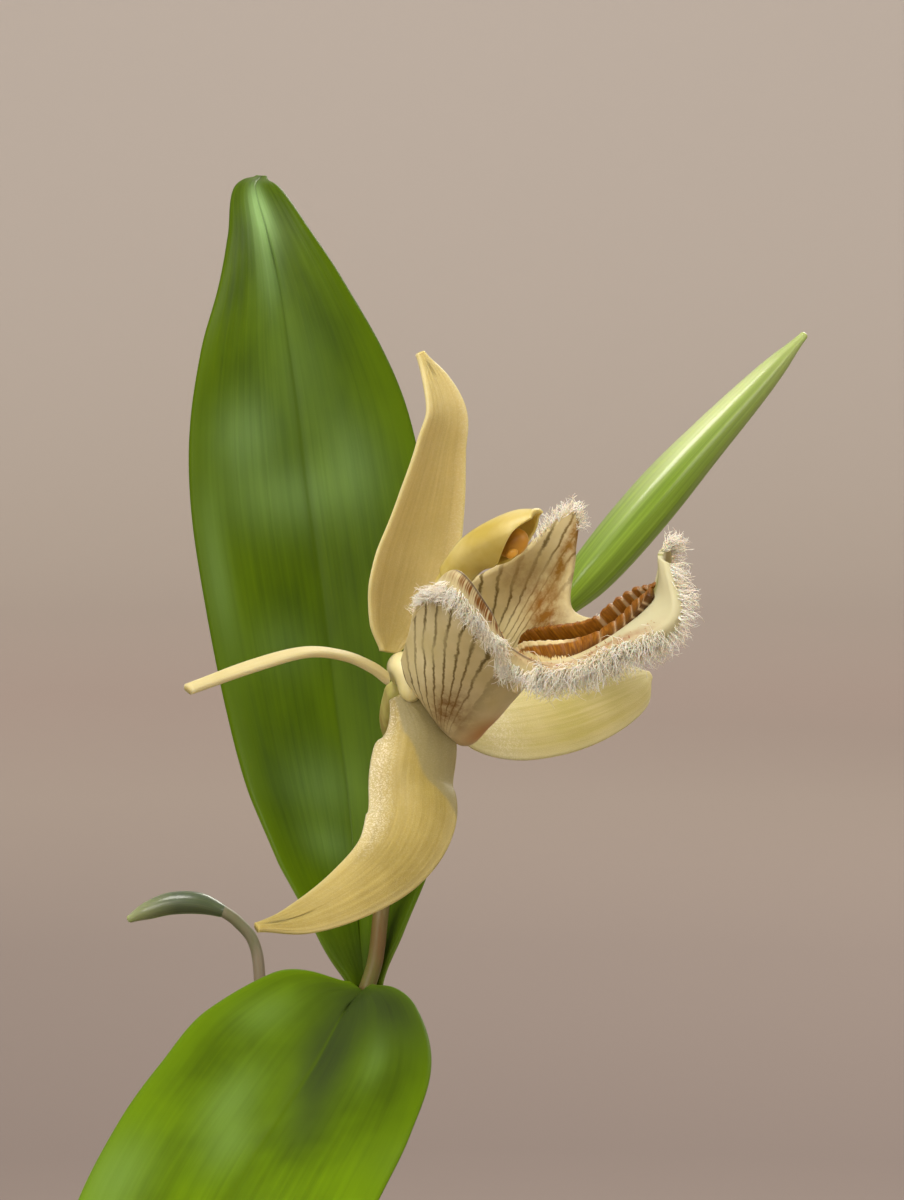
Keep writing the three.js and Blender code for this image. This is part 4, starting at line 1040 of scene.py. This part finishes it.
# %% Sepals and petals, as offsets from the flower's centre
FLOWER_CENTRE = np.array([2.3, -8.3, 150.6])
DORSAL_SEPAL = {
    "spine": [
        (-1.7, 0.4, 1.4), (-1.5, 0.7, 3.0), (-0.9, 1.0, 5.2), (-0.3, 1.0, 7.5), (0.3, 0.8, 10.0),
        (1.1, 0, 13.2), (1.8, -0.8, 16.2), (2.3, -1.3, 18.6), (1.7, -1.1, 20.9), (0.6, -0.4, 22.9)],
    "facing": [(0.55, -0.75, 0.35), (0.5, -0.8, 0.3), (0.5, -0.8, 0.2), (0.4, -0.8, 0.4)],
    "half": (0.8, 2.1, 3.1, 3.4, 3.2, 2.7, 2.1, 1.7, 1.1, 0.35),
    "cup": (0.3, 0.35, 0.35, 0.25, 0.1),
}
NEAR_SEPAL = {
    "spine": [
        (-0.8, -0.8, -1.6), (0.3, -2.4, -4.0), (0, -4.6, -6.9), (0, -7, -9.5), (-1.3, -9.7, -11.9),
        (-4.2, -12.4, -13.9), (-7.5, -14.5, -15.3), (-10.4, -16.1, -15.7)],
    "facing": [(0, -1, 0.1), (0, -1, 0.1), (0.1, -0.8, 0.5), (0.1, -0.5, 0.8)],
    "half": (0.9, 2.7, 3, 3.1, 2.6, 2, 1.3, 0.35),
    "cup": (-0.2, -0.3, -0.25, -0.1),
    "hem": (0.25, 0.25, 0.15, 0, 0, 0),
    "crease": (-0.5, -0.2, 0.4, 0.9, 1),
}
FAR_SEPAL = {
    "spine": [
        (1.2, 1.5, -1.7), (3, 4.9, -3.5), (6.4, 8.9, -4.6), (10.4, 12.1, -4.4), (14.1, 15.1, -3.6),
        (17, 18.2, -2.8), (18.2, 21.6, -2.6)],
    "facing": [(0.3, -0.7, 0.6), (0.2, -0.75, 0.6), (0.3, -0.8, 0.5), (0.6, -0.7, 0.4)],
    "half": (0.9, 2.6, 3.1, 3.2, 2.9, 2, 0.35),
    "cup": (0.1, -0.2, -0.25, -0.1),
}
NEAR_PETAL = {
    "spine": [
        (-1.8, -1.2, -0.3), (-2.9, -2.2, 0.6), (-4.8, -4, 1.6), (-7.4, -6.5, 2.1), (-10.8, -9.6, 1.5),
        (-15.1, -13.7, 0.3)],
    "facing": [(0.2, -0.6, 0.8), (0.1, -0.5, 0.85), (0.1, -0.5, 0.85)],
    "half": (0.6, 0.6, 0.5, 0.5, 0.55, 0.45),
}
FAR_PETAL = {
    "spine": [
        (0, 2.3, 0.8), (-0.1, 5.5, 2.2), (0, 9.7, 4.4), (0.4, 13.5, 7.2), (1, 16.8, 10.2),
        (1.5, 19.6, 13.5)],
    "facing": [(0.6, -0.3, 0.8), (0.7, -0.5, 0.6), (0.7, -0.5, 0.5)],
    "half": (0.6, 0.6, 0.5, 0.5, 0.55, 0.45),
}


def petal_shape(outline, rows, columns, thickest, groove=0.02, relief=0.008):
    """The mesh of a sepal or petal: full along its middle and thin at its edges."""
    outline = {**outline, "spine": np.array(outline["spine"]) + FLOWER_CENTRE}
    surface = veined(blade(**outline), groove=groove, relief=relief, veins=4)
    thin = lambda u, v: thickest * (0.3 + 0.7 * np.sqrt(np.clip(1 - v**4, 0, 1)))
    return sheet(surface, rows, columns, thin)


dorsal_shape = petal_shape(DORSAL_SEPAL, 130, 48, 0.5)
# Painted glints, stronger towards one edge of the dorsal sepal.
dorsal_shape[2]["frost"] = 0.12 + 0.2 * step_up(0.5, 1, dorsal_shape[2]["across"])
near_shape = petal_shape(NEAR_SEPAL, 150, 64, 0.5)
near_along, near_across = near_shape[2]["along"], near_shape[2]["across"]
fold_line = np.interp(near_along, (0, 0.14, 0.2, 0.286, 0.38, 0.45), (0.6, 0.4, 0.1, -0.25, -0.85, -1.4))
# Painted glints on the lit side of the near sepal, towards its base.
near_shape[2]["frost"] = 0.06 + 0.65 * step_up(0.3, 0.8, near_across) * step_up(0.3, 0.55, 1 - near_along)
# Painted shade in the hollow beyond the fold of the near sepal.
near_shape[2]["hollow"] = 0.8 * step_up(0, 0.14, fold_line - near_across)
piece("dorsal_sepal", dorsal_shape, sepal_skin, "sepal", "sepal_dorsal")
piece("near_sepal", near_shape, shaded_near_sepal_skin, "sepal", "sepal_near")
far_shape = petal_shape(FAR_SEPAL, 110, 48, 0.5)
# Painted glints in a band across the far sepal.
far_shape[2]["frost"] = 0.55 * bump(far_shape[2]["along"] - 0.31, 0.08)
# Painted shade near the base of the far sepal.
far_shape[2]["hollow"] = 0.35 * step_up(0.8, 0.9, 1 - far_shape[2]["along"])
piece("far_sepal", far_shape, far_sepal_skin, "sepal", "sepal_far")
piece("near_petal", petal_shape(NEAR_PETAL, 100, 20, 0.55, 0, 0), petal_skin, "petal", "petal_near")
piece("far_petal", petal_shape(FAR_PETAL, 100, 20, 0.55, 0, 0), petal_skin, "petal", "petal_far")

# %% [markdown]
# ## The lip
# The lip is the showpiece: a gutter with two pointed side lobes and a long cupped middle lobe. Its
# margin rolls outwards and bears a fringe of curly white hairs. Brown veins fan out from its chin
# into the side lobes, and two crinkled brown keels stand on its floor. The gutter is drawn in the
# flower's own frame, with +X out of its mouth, as five runs from base to tip with a smooth surface
# across them. The rolled margin goes on from its edge along an arc.

# %% The gutter and its rolled margin
FLOWER_YAW, FLOWER_PITCH, FLOWER_ROLL = [math.radians(a) for a in (-35, 30, 16)]
FLOWER_TURN = turn_matrix(FLOWER_ROLL, -FLOWER_PITCH, FLOWER_YAW)
LIP_RUNS = [
    [(1, -1.6, 1.2), (5, -3.2, 3.2), (9, -5.8, 3.8), (12.9, -8, 4.3), (12.6, -6.9, 1.2),
     (11, -4.7, -2.1), (13.6, -4.7, -5), (17.8, -4.4, -5.6), (21.9, -2.8, -6.1), (22.7, -0.5, -2.8)],
    [(0.4, -1.6, -0.4), (2.3, -3.3, -1.4), (5.2, -4.5, -1.2), (8.4, -5.5, -0.6), (9.6, -4.9, -1.6),
     (9.8, -3.4, -3.2), (13.2, -2.7, -5), (17.6, -2.4, -5.3), (21.3, -1.6, -5), (22.5, -0.3, -2.5)],
    [(-0.2, 0, -1.9), (0.3, 0, -6.2), (3, 0, -6.1), (5.8, 0, -5.4), (8, 0, -4.9),
     (10.2, 0, -4.9), (13.6, 0, -5.4), (17.6, 0, -5.3), (20.8, 0, -4.2), (22.4, 0, -2.3)],
    [(0.2, 1.7, -0.4), (2.3, 3.3, -1.4), (5.2, 4.5, -1.2), (8.4, 5.5, -0.8), (9.6, 4.9, -1.8),
     (9.8, 3.4, -3.3), (13.2, 2.6, -4.9), (17.6, 2.2, -5), (21, 1.2, -3.4), (22.4, 0.3, -2.2)],
    [(0.9, 1.7, 1.2), (5, 3.2, 2.9), (9.3, 5.5, 2.6), (13.5, 8, 3.1), (12.3, 6.9, 0.6),
     (10.9, 4.7, -2.5), (13.6, 4.4, -4.6), (17.8, 3.8, -4.6), (21.3, 2, -2.6), (22.3, 0.5, -2.2)],
]
ROLL_SHARE, CREST_RADIUS = 0.45, 0.3
NEAR_ROLL = (0.1, 0.4, 1.0, 1.9, 2.0, 1.6, 1.1, 1.1, 1.0, 0.4)
FAR_ROLL = (0.1, 0.2, 0.4, 0.5, 0.5, 0.5, 0.8, 0.9, 0.8, 0.4)
NEAR_BEND = (60, 90, 130, 140, 135, 115, 100, 95, 95, 90)
FAR_BEND = (60, 90, 110, 120, 110, 100, 95, 95, 95, 90)


def in_flower(points):
    """Points of the flower's own frame, in the frame of the whole plant."""
    return np.asarray(points) @ FLOWER_TURN.T + FLOWER_CENTRE


def gutter(u, v):
    """The lip without its rolled margin."""
    return through(np.stack([through(run, u) for run in LIP_RUNS]), (v + 1) / 2)


def lip_local(u, s):
    """The whole lip: past s = -1 and s = 1 its margin bends over a crest and hangs down outside."""
    point = gutter(u, np.clip(s, -1, 1))
    side = np.where(s < 0, -1.0, 1.0)
    mid_u = np.clip(u, 4 * STEP, 1 - 4 * STEP)
    outwards = unit(gutter(mid_u, side) - gutter(mid_u, side * 0.96))
    along = unit(gutter(mid_u + 4 * STEP, side) - gutter(mid_u - 4 * STEP, side))
    under = unit(np.cross(along, outwards)) * -side[..., None]
    width = np.where(s < 0, graded(NEAR_ROLL, u), graded(FAR_ROLL, u))
    most = np.radians(np.where(s < 0, graded(NEAR_BEND, u), graded(FAR_BEND, u)))
    length = np.clip((np.abs(s) - 1) / ROLL_SHARE, 0, None) * width
    bend = np.minimum(length / CREST_RADIUS, most)
    straight = (length - bend * CREST_RADIUS)[..., None]
    bend = bend[..., None]
    arc = outwards * np.sin(bend) + under * (1 - np.cos(bend))
    return point + CREST_RADIUS * arc + straight * (outwards * np.cos(bend) + under * np.sin(bend))


# %% Where the lip is veined and stained
VEIN_FOCUS = (-1.5, -6)
NEAR_VEINS = (16, 22.5, 27, 31, 36, 41.5, 48, 55, 63, 72)
FAR_VEINS = (16, 22, 25.5, 28, 30.5, 33.5, 37, 41.5, 47, 54)
CHIN_STAIN, CHIN_LINE = (1.9, -1.6, -3.6), np.array((-0.54, 0.84, -0.03))
RUST_SPOT = ((9.2, 4.6, -1.4), (1.1, 1.3, 2.6))
FLUSH_SPOT = ((2.6, -0.4, -6.2), (1.6, 1, 1))


def lip_marks(points, u, s):
    """The fan of veins as a running number, and how far each kind of stain covers each point."""
    x, y, z = points.T
    angle = np.degrees(np.arctan2(z - VEIN_FOCUS[1], x - VEIN_FOCUS[0]))
    order = np.arange(len(NEAR_VEINS))
    hanging = np.clip((-s - 1) / ROLL_SHARE, 0, 1)
    side_lobes = step_up(0.44, 0.56, 1 - u)
    from_chin = points - CHIN_STAIN
    from_chin = from_chin - (from_chin @ CHIN_LINE)[:, None] * CHIN_LINE
    from_rust = np.linalg.norm((points - RUST_SPOT[0]) / RUST_SPOT[1], axis=-1)
    from_flush = np.linalg.norm((points - FLUSH_SPOT[0]) / FLUSH_SPOT[1], axis=-1)
    crest_share = step_up(0.29, 0.34, u) * step_up(0.3, 0.42, 1 - u)
    return {
        "fan": np.where(y < 0, np.interp(angle, NEAR_VEINS, order), np.interp(angle, FAR_VEINS, order)),
        "lobe": step_up(0.12, 0.4, np.abs(s)) * side_lobes * step_up(0.9, 1, 1 - hanging),
        "chin": bump(np.linalg.norm(from_chin, axis=-1), 1.75) * (s < 0),
        "flush": bump(from_flush, 1.3),
        "rust": 1.15 * bump(from_rust, 1.6) * (s > 0),
        "tinge": 1.2 * step_up(0.3, 0.8, s) * bump(u - 0.405, 0.055),
        "feather": 1.3 * bump(hanging - 0.35, 0.22) * (hanging > 0) * bump(u - 0.43, 0.11),
        "crest": bump(hanging - 0.17, 0.05) * (hanging > 0) * crest_share,
        "shore": bump(s + 0.97, 0.16) * step_up(0.5, 0.6, u) * step_up(0.1, 0.2, 1 - u) * 0.7,
        "pale": step_up(0.68, 0.82, u),
        "olive": bump(s - 0.05, 0.16) * step_up(0.74, 0.84, u),
    }


def lip_skin():
    """The lip's skin: cream and waxy, with brown veins, rusty stains and a feathered edge."""
    finish, node = new_finish(
        "veined lip skin", Roughness=0.5, IOR=1.4, Subsurface_Weight=0.3, Subsurface_Scale=0.0007,
        Specular_IOR_Level=0.35, Subsurface_Radius=(1.0, 0.85, 0.6))
    place = node("TexCoord").outputs["Object"]
    fan = node("Attribute", attribute_name="fan").outputs["Fac"]
    wander = node("TexNoise", {"Vector": place, "Scale": 1300, "Detail": 5, "Roughness": 0.7})
    broad = node("TexNoise", {"Vector": place, "Scale": 330, "Detail": 3})
    cream = node("ValToRGB", {"Fac": broad}, stops=[(0.3, "#c3b583"), (0.7, "#d8cca2")])
    shaky = node("Math", {0: wander, 1: 0.6, 2: fan}, operation="MULTIPLY_ADD")
    swung = node("Math", {0: broad, 1: 0.7, 2: shaky}, operation="MULTIPLY_ADD")
    moved = node("Math", {0: swung, 1: 0.65}, operation="SUBTRACT")
    between_veins = node("Math", {0: moved}, operation="FRACT")
    off_line = node("Math", {0: between_veins, 1: 0.5}, operation="SUBTRACT")
    from_middle = node("Math", {0: off_line}, operation="ABSOLUTE")
    line = node("ValToRGB", {"Fac": from_middle}, stops=[(0.34, 0), (0.45, 0.9)])
    patchy = node("ValToRGB", {"Fac": broad}, stops=[(0.32, 0.35), (0.52, 1)])
    fade = node("Math", {0: line, 1: patchy}, operation="MULTIPLY")
    blotchy = node("ValToRGB", {"Fac": wander}, stops=[(0.34, 0.4), (0.62, 1)])
    along = node("Attribute", attribute_name="along").outputs["Fac"]
    feathered = stretched(node, along, 190.0, fan, 0.6)
    dashes = node("TexNoise", {"Vector": feathered, "Scale": 1, "Detail": 3})
    dashed = node("ValToRGB", {"Fac": dashes}, stops=[(0.42, 0.15), (0.54, 1)])
    even = node("ValToRGB", {"Fac": broad}, stops=[(0.2, 0.8), (0.7, 1)])
    colour = cream
    stains = [("pale", "#c2bd98", even), ("lobe", "#63511f", fade), ("flush", "#b98346", even),
              ("chin", "#704a16", blotchy), ("tinge", "#86601e", blotchy), ("rust", "#805412", blotchy),
              ("shore", "#94552c", blotchy), ("feather", "#7d4c10", dashed), ("crest", "#3d2408", even),
              ("olive", "#8c8a4c", even)]
    for name, stain, pattern in stains:
        here = node("Attribute", attribute_name=name).outputs["Fac"]
        cover = node("Math", {0: here, 1: pattern}, operation="MULTIPLY", use_clamp=True)
        colour = node("MixRGB", {"Fac": cover, "Color1": colour, "Color2": stain})
    relief = node("Bump", {"Height": wander, "Strength": 0.25, "Distance": 0.08 * MM})
    return wear(finish, colour, relief)


LIP_ROWS, LIP_COLUMNS = 220, 150
whole_lip = lambda u, v: in_flower(lip_local(u, v * (1 + ROLL_SHARE)))
lip_thickness = lambda u, v: 0.38 * (0.45 + 0.55 * np.sqrt(np.clip(1 - v**6, 0, 1)))
lip_points, lip_faces, lip_shape_marks = sheet(whole_lip, LIP_ROWS, LIP_COLUMNS, lip_thickness)
local_points = (lip_points - FLOWER_CENTRE) @ FLOWER_TURN
lip_shape_marks.update(lip_marks(
    local_points, lip_shape_marks["along"], lip_shape_marks["across"] * (1 + ROLL_SHARE)))
piece("lip_blade", (lip_points, lip_faces, lip_shape_marks), lip_skin(), "lip", "lip")

# %% The keels
KEEL_FROM, KEEL_TO, KEEL_APART = 0.4, 0.88, 0.85
KEEL_CRESTS = {1: (0.8, 2.3, 2.9, 2.75, 2.3, 1.85, 2.05, 1.65, 0.5),
               -1: (0.6, 1.9, 2.45, 2.0, 1.4, 0.95, 0.9, 0.9, 0.4)}
KEEL_CREAM = (1.0, 1.7, 1.8, 0.75, 0.15, -0.4, -0.5, -0.6, -0.6)
KEEL_CRACKS = (0.66, 0.735, 0.8, 0.855, 0.905, 0.95)


def keel_cracks(u):
    """1 in the middle of each crack that runs across a keel."""
    return sum(bump(u - crack + 0.004 * np.sin(40 * crack), 0.007) for crack in KEEL_CRACKS)


def keel_shape(side):
    """A crinkled wall along the lip's floor. v goes from its foot to its crest."""
    def surface(u, v):
        foot = through(LIP_RUNS[2], KEEL_FROM + u * (KEEL_TO - KEEL_FROM))
        up = (v + 1) / 2
        crest = graded(KEEL_CRESTS[side], u) * (1 - 0.16 * np.clip(keel_cracks(u), 0, 1))
        crest = crest * (1 + 0.012 * np.sin(140 * u) + 0.01 * np.sin(231 * u))
        wave = 0.035 * np.sin(95 * u + side) * up + 0.012 * np.sin(215 * u) * up
        lean = -0.5 * (1 - up) ** 2 + 0.25 * up * up
        y = side * (KEEL_APART - 0.25 * u - lean) + wave
        return in_flower(foot + np.stack([np.zeros_like(u), y, 0.05 + crest * up], -1))
    points, faces, marks = sheet(surface, 240, 16, lambda u, v: 0.3 + 0.25 * (1 - v) / 2)
    u, up = marks["along"], (marks["across"] + 1) / 2
    marks["rise"] = graded(KEEL_CRESTS[side], u) * up - graded(KEEL_CREAM, u)
    marks["crack"] = np.clip(keel_cracks(u), 0, 1)
    streak_share = step_up(0.12, 0.2, u) * step_up(0.42, 0.55, 1 - u)
    marks["streak"] = (side < 0) * step_up(0.8, 0.88, up) * streak_share
    return points, faces.tolist(), marks


def keel_skin():
    """The keels: orange-brown over a cream foot, finely ridged, dark below and cracked at the tip."""
    finish, node = new_finish(
        "brown keel skin", Roughness=0.4, IOR=1.42, Subsurface_Weight=0.15, Subsurface_Scale=0.0005,
        Subsurface_Radius=(1.0, 0.5, 0.2))
    mark = {name: node("Attribute", attribute_name=name).outputs["Fac"]
            for name in ("along", "across", "rise", "crack", "streak")}
    ridges = stretched(node, mark["along"], 110.0, mark["across"], 1.2)
    ridged = node("TexNoise", {"Vector": ridges, "Scale": 1, "Detail": 3})
    brown = node("ValToRGB", {"Fac": ridged}, stops=[
        (0.3, "#7a4808"), (0.5, "#935a0c"), (0.72, "#b87c20")])
    far_along = node("ValToRGB", {"Fac": mark["along"]}, stops=[(0.3, 0), (0.85, 0.5)])
    browner = node("MixRGB", {"Fac": far_along, "Color1": brown, "Color2": "#653a06"})
    height = node("Math", {0: mark["across"], 1: 0.5, 2: 0.5}, operation="MULTIPLY_ADD")
    low = node("ValToRGB", {"Fac": height}, stops=[(0.15, 0.4), (0.7, 1)])
    darker = node("MixRGB", {"Fac": 1.0, "Color1": browner, "Color2": low}, blend_type="MULTIPLY")
    ragged = node("Math", {0: ridged, 1: 0.9, 2: mark["rise"]}, operation="MULTIPLY_ADD")
    above = node("ValToRGB", {"Fac": ragged}, stops=[(0.38, 0), (0.52, 1)])
    footed = node("MixRGB", {"Fac": above, "Color1": "#e2cf9c", "Color2": darker})
    streaked = node("MixRGB", {"Fac": mark["streak"], "Color1": footed, "Color2": "#ead6a4"})
    cracked = node("Math", {0: mark["crack"], 1: 0.75}, operation="MULTIPLY")
    colour = node("MixRGB", {"Fac": cracked, "Color1": streaked, "Color2": "#bda37c"})
    relief = node("Bump", {"Height": ridged, "Strength": 0.3, "Distance": 0.08 * MM})
    return wear(finish, colour, relief)


piece("lip_keels", joined([keel_shape(1), keel_shape(-1)]), keel_skin(), "lip", "lip")

# %% [markdown]
# ## The fringe
# Every hair of the fringe is a single tapered strand that curls as it dries. Hair curves would be
# lost when the model is exported, so each hair is a thin three-sided mesh. It grows out of the rolled
# margin, outwards and down, with a small seeded helix of its own.

# %% Hairs of the fringe
HAIR_STEPS, HAIR_RADIUS = 6, 0.045
HAIR_DRAWS = np.random.default_rng(23)


def hairs(count, side, u_from, u_to, w_from, w_to, shortest, longest, curl=1.0, radius=HAIR_RADIUS):
    """Points of many curled hairs. w is 0 on the crest of the margin and 1 on its rim."""
    u = HAIR_DRAWS.uniform(u_from, u_to, count)
    s = side * (1 + ROLL_SHARE * HAIR_DRAWS.uniform(w_from, w_to, count))
    root = lip_local(u, s)
    out = unit(lip_local(u, s) - lip_local(u, s - side * 0.03))
    along = unit(lip_local(np.clip(u + 0.01, 0, 1), s) - lip_local(np.clip(u - 0.01, 0, 1), s))
    off = unit(np.cross(along, out)) * side
    spread = HAIR_DRAWS.normal(0, 1, (count, 3))
    aim = unit(out + 0.7 * off * HAIR_DRAWS.uniform(0.2, 1.5, (count, 1)) + 0.33 * spread)
    first = unit(np.cross(aim, spread))
    second = np.cross(aim, first)
    length = HAIR_DRAWS.uniform(shortest, longest, count)
    swing = curl * HAIR_DRAWS.uniform(0.05, 0.3, count) * length
    turns = HAIR_DRAWS.uniform(0.4, 1.3, count) * 2 * np.pi
    t = np.linspace(0, 1, HAIR_STEPS + 1)
    angle = turns[:, None] * t
    swing = swing[:, None] * np.sqrt(t)
    line = root[:, None] + aim[:, None] * (length[:, None] * t)[..., None]
    line = line + first[:, None] * (swing * np.sin(angle))[..., None]
    line = line + second[:, None] * (swing * (1 - np.cos(angle)))[..., None]
    corner = np.arange(3) * 2 * np.pi / 3
    thick = radius * (1 - 0.7 * t)[None, :, None, None]
    corner = corner[:, None]
    ring = first[:, None, None] * np.cos(corner) + second[:, None, None] * np.sin(corner)
    return (line[:, :, None] + ring * thick).reshape(-1, 3)


def hair_faces(count):
    """The sides of every hair, and a cap on both its ends."""
    rings = HAIR_STEPS + 1
    one = ring_faces(rings, 3)
    starts = np.arange(count)[:, None, None] * rings * 3
    sides = (one + starts).reshape(-1, 4).tolist()
    caps = [[i + 2, i + 1, i] for i in range(0, count * rings * 3, rings * 3)]
    tips = [[i - 3, i - 2, i - 1] for i in range(rings * 3, count * rings * 3 + 1, rings * 3)]
    return sides + caps + tips


def hair_skin(name, deep, bright):
    """A dry hair: fine, soft and a little clear."""
    finish, node = new_finish(
        name, Roughness=0.5, IOR=1.45, Subsurface_Weight=0.3, Subsurface_Scale=0.0005)
    place = node("TexCoord").outputs["Object"]
    tone = node("TexNoise", {"Vector": place, "Scale": 900, "Detail": 2})
    colour = node("ValToRGB", {"Fac": tone}, stops=[(0.35, deep), (0.6, bright)])
    return wear(finish, colour)


FRINGES = [
    (70, -1, 0.1, 0.24, 0.5, 1, 0.4, 0.9), (800, -1, 0.24, 0.5, 0.58, 1, 0.8, 1.5),
    (400, -1, 0.48, 0.64, 0.5, 1, 0.8, 1.5), (950, -1, 0.62, 0.86, 0.1, 1, 0.8, 1.8),
    (240, -1, 0.84, 1, 0.45, 1, 0.8, 1.6), (230, 1, 0.25, 0.4, 0.1, 1, 0.5, 1.3),
    (260, 1, 0.62, 0.93, 0.4, 1, 0.7, 1.4), (110, 1, 0.88, 1, 0.5, 1, 0.9, 1.7)]
PAPILLAE = [(420, -1, 0.5, 0.86, -0.6, 0.25, 0.15, 0.4, 0.3, 0.06)]
for name, sets, skin in (
        ("lip_fringe", FRINGES, hair_skin("white fringe hair", "#f2e4c8", "#fff6e6")),
        ("lip_papillae", PAPILLAE, hair_skin("rusty papillae", "#8a4a24", "#c08a5c"))):
    points = in_flower(np.concatenate([hairs(*one) for one in sets]))
    piece(name, (points, hair_faces(sum(one[0] for one in sets)), {}), skin, "lip", "lip")

# %% [markdown]
# ## The column
# Stamen and style are grown together into one arched column over the lip. Its tip widens into a
# hood, open below and in front, and the anther cap sits in that hollow. So the column is two shapes
# in one: a round stem that ends inside the hood, and a thin shell over it whose edges rise from
# below until only a roof is left at the tip.

# %% Column and anther
COLUMN_PATH = [(0.4, 0, 0.5), (3.5, 0, 2.2), (6.5, 0, 3.7), (9.5, 0, 4.7), (12.0, 0, 4.9)]
COLUMN_RADIUS, COLUMN_FLAT = (0.9, 0.95, 1.05, 1.3, 1.35), (1, 1, 0.95, 0.8, 0.8)
HOOD_PATH = [(7.5, 0, 4.1), (9.8, 0, 4.8), (12.0, 0, 4.85), (14.2, 0, 4.6), (15.9, 0, 4.45)]
HOOD_WIDE = (1.15, 1.45, 1.75, 1.75, 0.9)
HOOD_HIGH = (1.05, 1.1, 1.1, 1.0, 0.45)
HOOD_DEEP = (1.05, 1.35, 2.0, 1.7, 0.6)
HOOD_FAR_OPEN, HOOD_NEAR_OPEN = (178, 174, 158, 122, 84), (178, 170, 138, 96, 64)
ANTHER_CENTRE, ANTHER_SIZE = (13.1, -0.1, 3.9), (1.3, 0.85, 0.95)
GLAND_CENTRE, GLAND_SIZE = (13.0, -0.75, 3.35), (0.5, 0.35, 0.35)


def waxy_flesh(name, deep, bright):
    """Thick waxy flesh of a flower, smooth and glowing where it is thin."""
    finish, node = new_finish(
        name, Roughness=0.38, IOR=1.42, Subsurface_Weight=0.35, Subsurface_Scale=0.001,
        Subsurface_Radius=(1.0, 0.85, 0.45))
    place = node("TexCoord").outputs["Object"]
    broad = node("TexNoise", {"Vector": place, "Scale": 330, "Detail": 3})
    colour = node("ValToRGB", {"Fac": broad}, stops=[(0.35, deep), (0.65, bright)])
    cells = node("TexVoronoi", {"Vector": place, "Scale": 7000})
    relief = node("Bump", {"Height": cells, "Strength": 0.12, "Distance": 0.04 * MM})
    return wear(finish, colour, relief)


def hood_surface(u, v):
    """The thin shell of the hood. v runs round it from one lower edge over the top to the other."""
    along = unit(through(HOOD_PATH, u + STEP) - through(HOOD_PATH, u - STEP))
    across = unit(np.cross(along, (0, 0, 1)))
    up = np.cross(across, along)
    angle = np.radians(np.where(v > 0, graded(HOOD_NEAR_OPEN, u), graded(HOOD_FAR_OPEN, u)) * v)
    high = np.where(np.cos(angle) > 0, graded(HOOD_HIGH, u), graded(HOOD_DEEP, u)) * np.cos(angle)
    wide = graded(HOOD_WIDE, u) * np.sin(angle)
    return in_flower(through(HOOD_PATH, u) + across * wide[..., None] + up * high[..., None])


def ball(centre, size, columns=40, rows=24):
    """A ball stretched to a size, in the flower's frame."""
    bm = bmesh.new()
    bmesh.ops.create_uvsphere(bm, u_segments=columns, v_segments=rows, radius=1)
    points = np.array([v.co for v in bm.verts])
    faces = [[v.index for v in f.verts] for f in bm.faces]
    bm.free()
    return in_flower(points * size + centre), faces, {}


stem_points, stem_faces, _ = tube(COLUMN_PATH, COLUMN_RADIUS, 90, 48, flat=COLUMN_FLAT)
hood_points, hood_faces, _ = sheet(hood_surface, 60, 60, lambda u, v: 0.2 + 0.18 * (1 - v * v))
column_shape = joined([(in_flower(stem_points), stem_faces, {}), (hood_points, hood_faces.tolist(), {})])
column_flesh = waxy_flesh("waxy column flesh", "#baa44c", "#cfbd78")
anther_skin = waxy_flesh("ochre anther skin", "#a06e20", "#c79032")
gland_skin = waxy_flesh("orange gland skin", "#cf8f2e", "#e2aa48")
piece("arched_column", column_shape, column_flesh, "column", "column")
piece("anther", ball(ANTHER_CENTRE, ANTHER_SIZE), anther_skin, "anther", "anther_cap")
piece("orange_gland", ball(GLAND_CENTRE, GLAND_SIZE), gland_skin, "anther", "anther_cap")

# %% The fleshy base of the flower
BASE_PATH = [
    (1.3, -6.0, 149.7), (1.5, -7.5, 150.9), (1.8, -8.5, 150.8), (2.1, -8.9, 149.8), (2.3, -9.3, 148.5)]
base_shape = tube(BASE_PATH, (0.8, 1.0, 1.05, 0.95, 0.85, 0.7), 80, 40)
piece("flower_base", base_shape, waxy_flesh("pale flower base", "#c8bb7c", "#dfd5a2"), "stalk", "ovary")

# %% [markdown]
# ## Measure and finish
# Both boxes are kept, so that they can be compared: how far the dressed plant goes past its solids is printed for
# each side.

# %% Write both boxes and finish
dressed_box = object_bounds()
for axis, low, high, low_solid, high_solid in zip("xyz", *dressed_box, *solid_box):
    past = [round((low_solid - low) / MM, 2), round((high - high_solid) / MM, 2)]
    print(axis, "past the solids in mm:", *past)
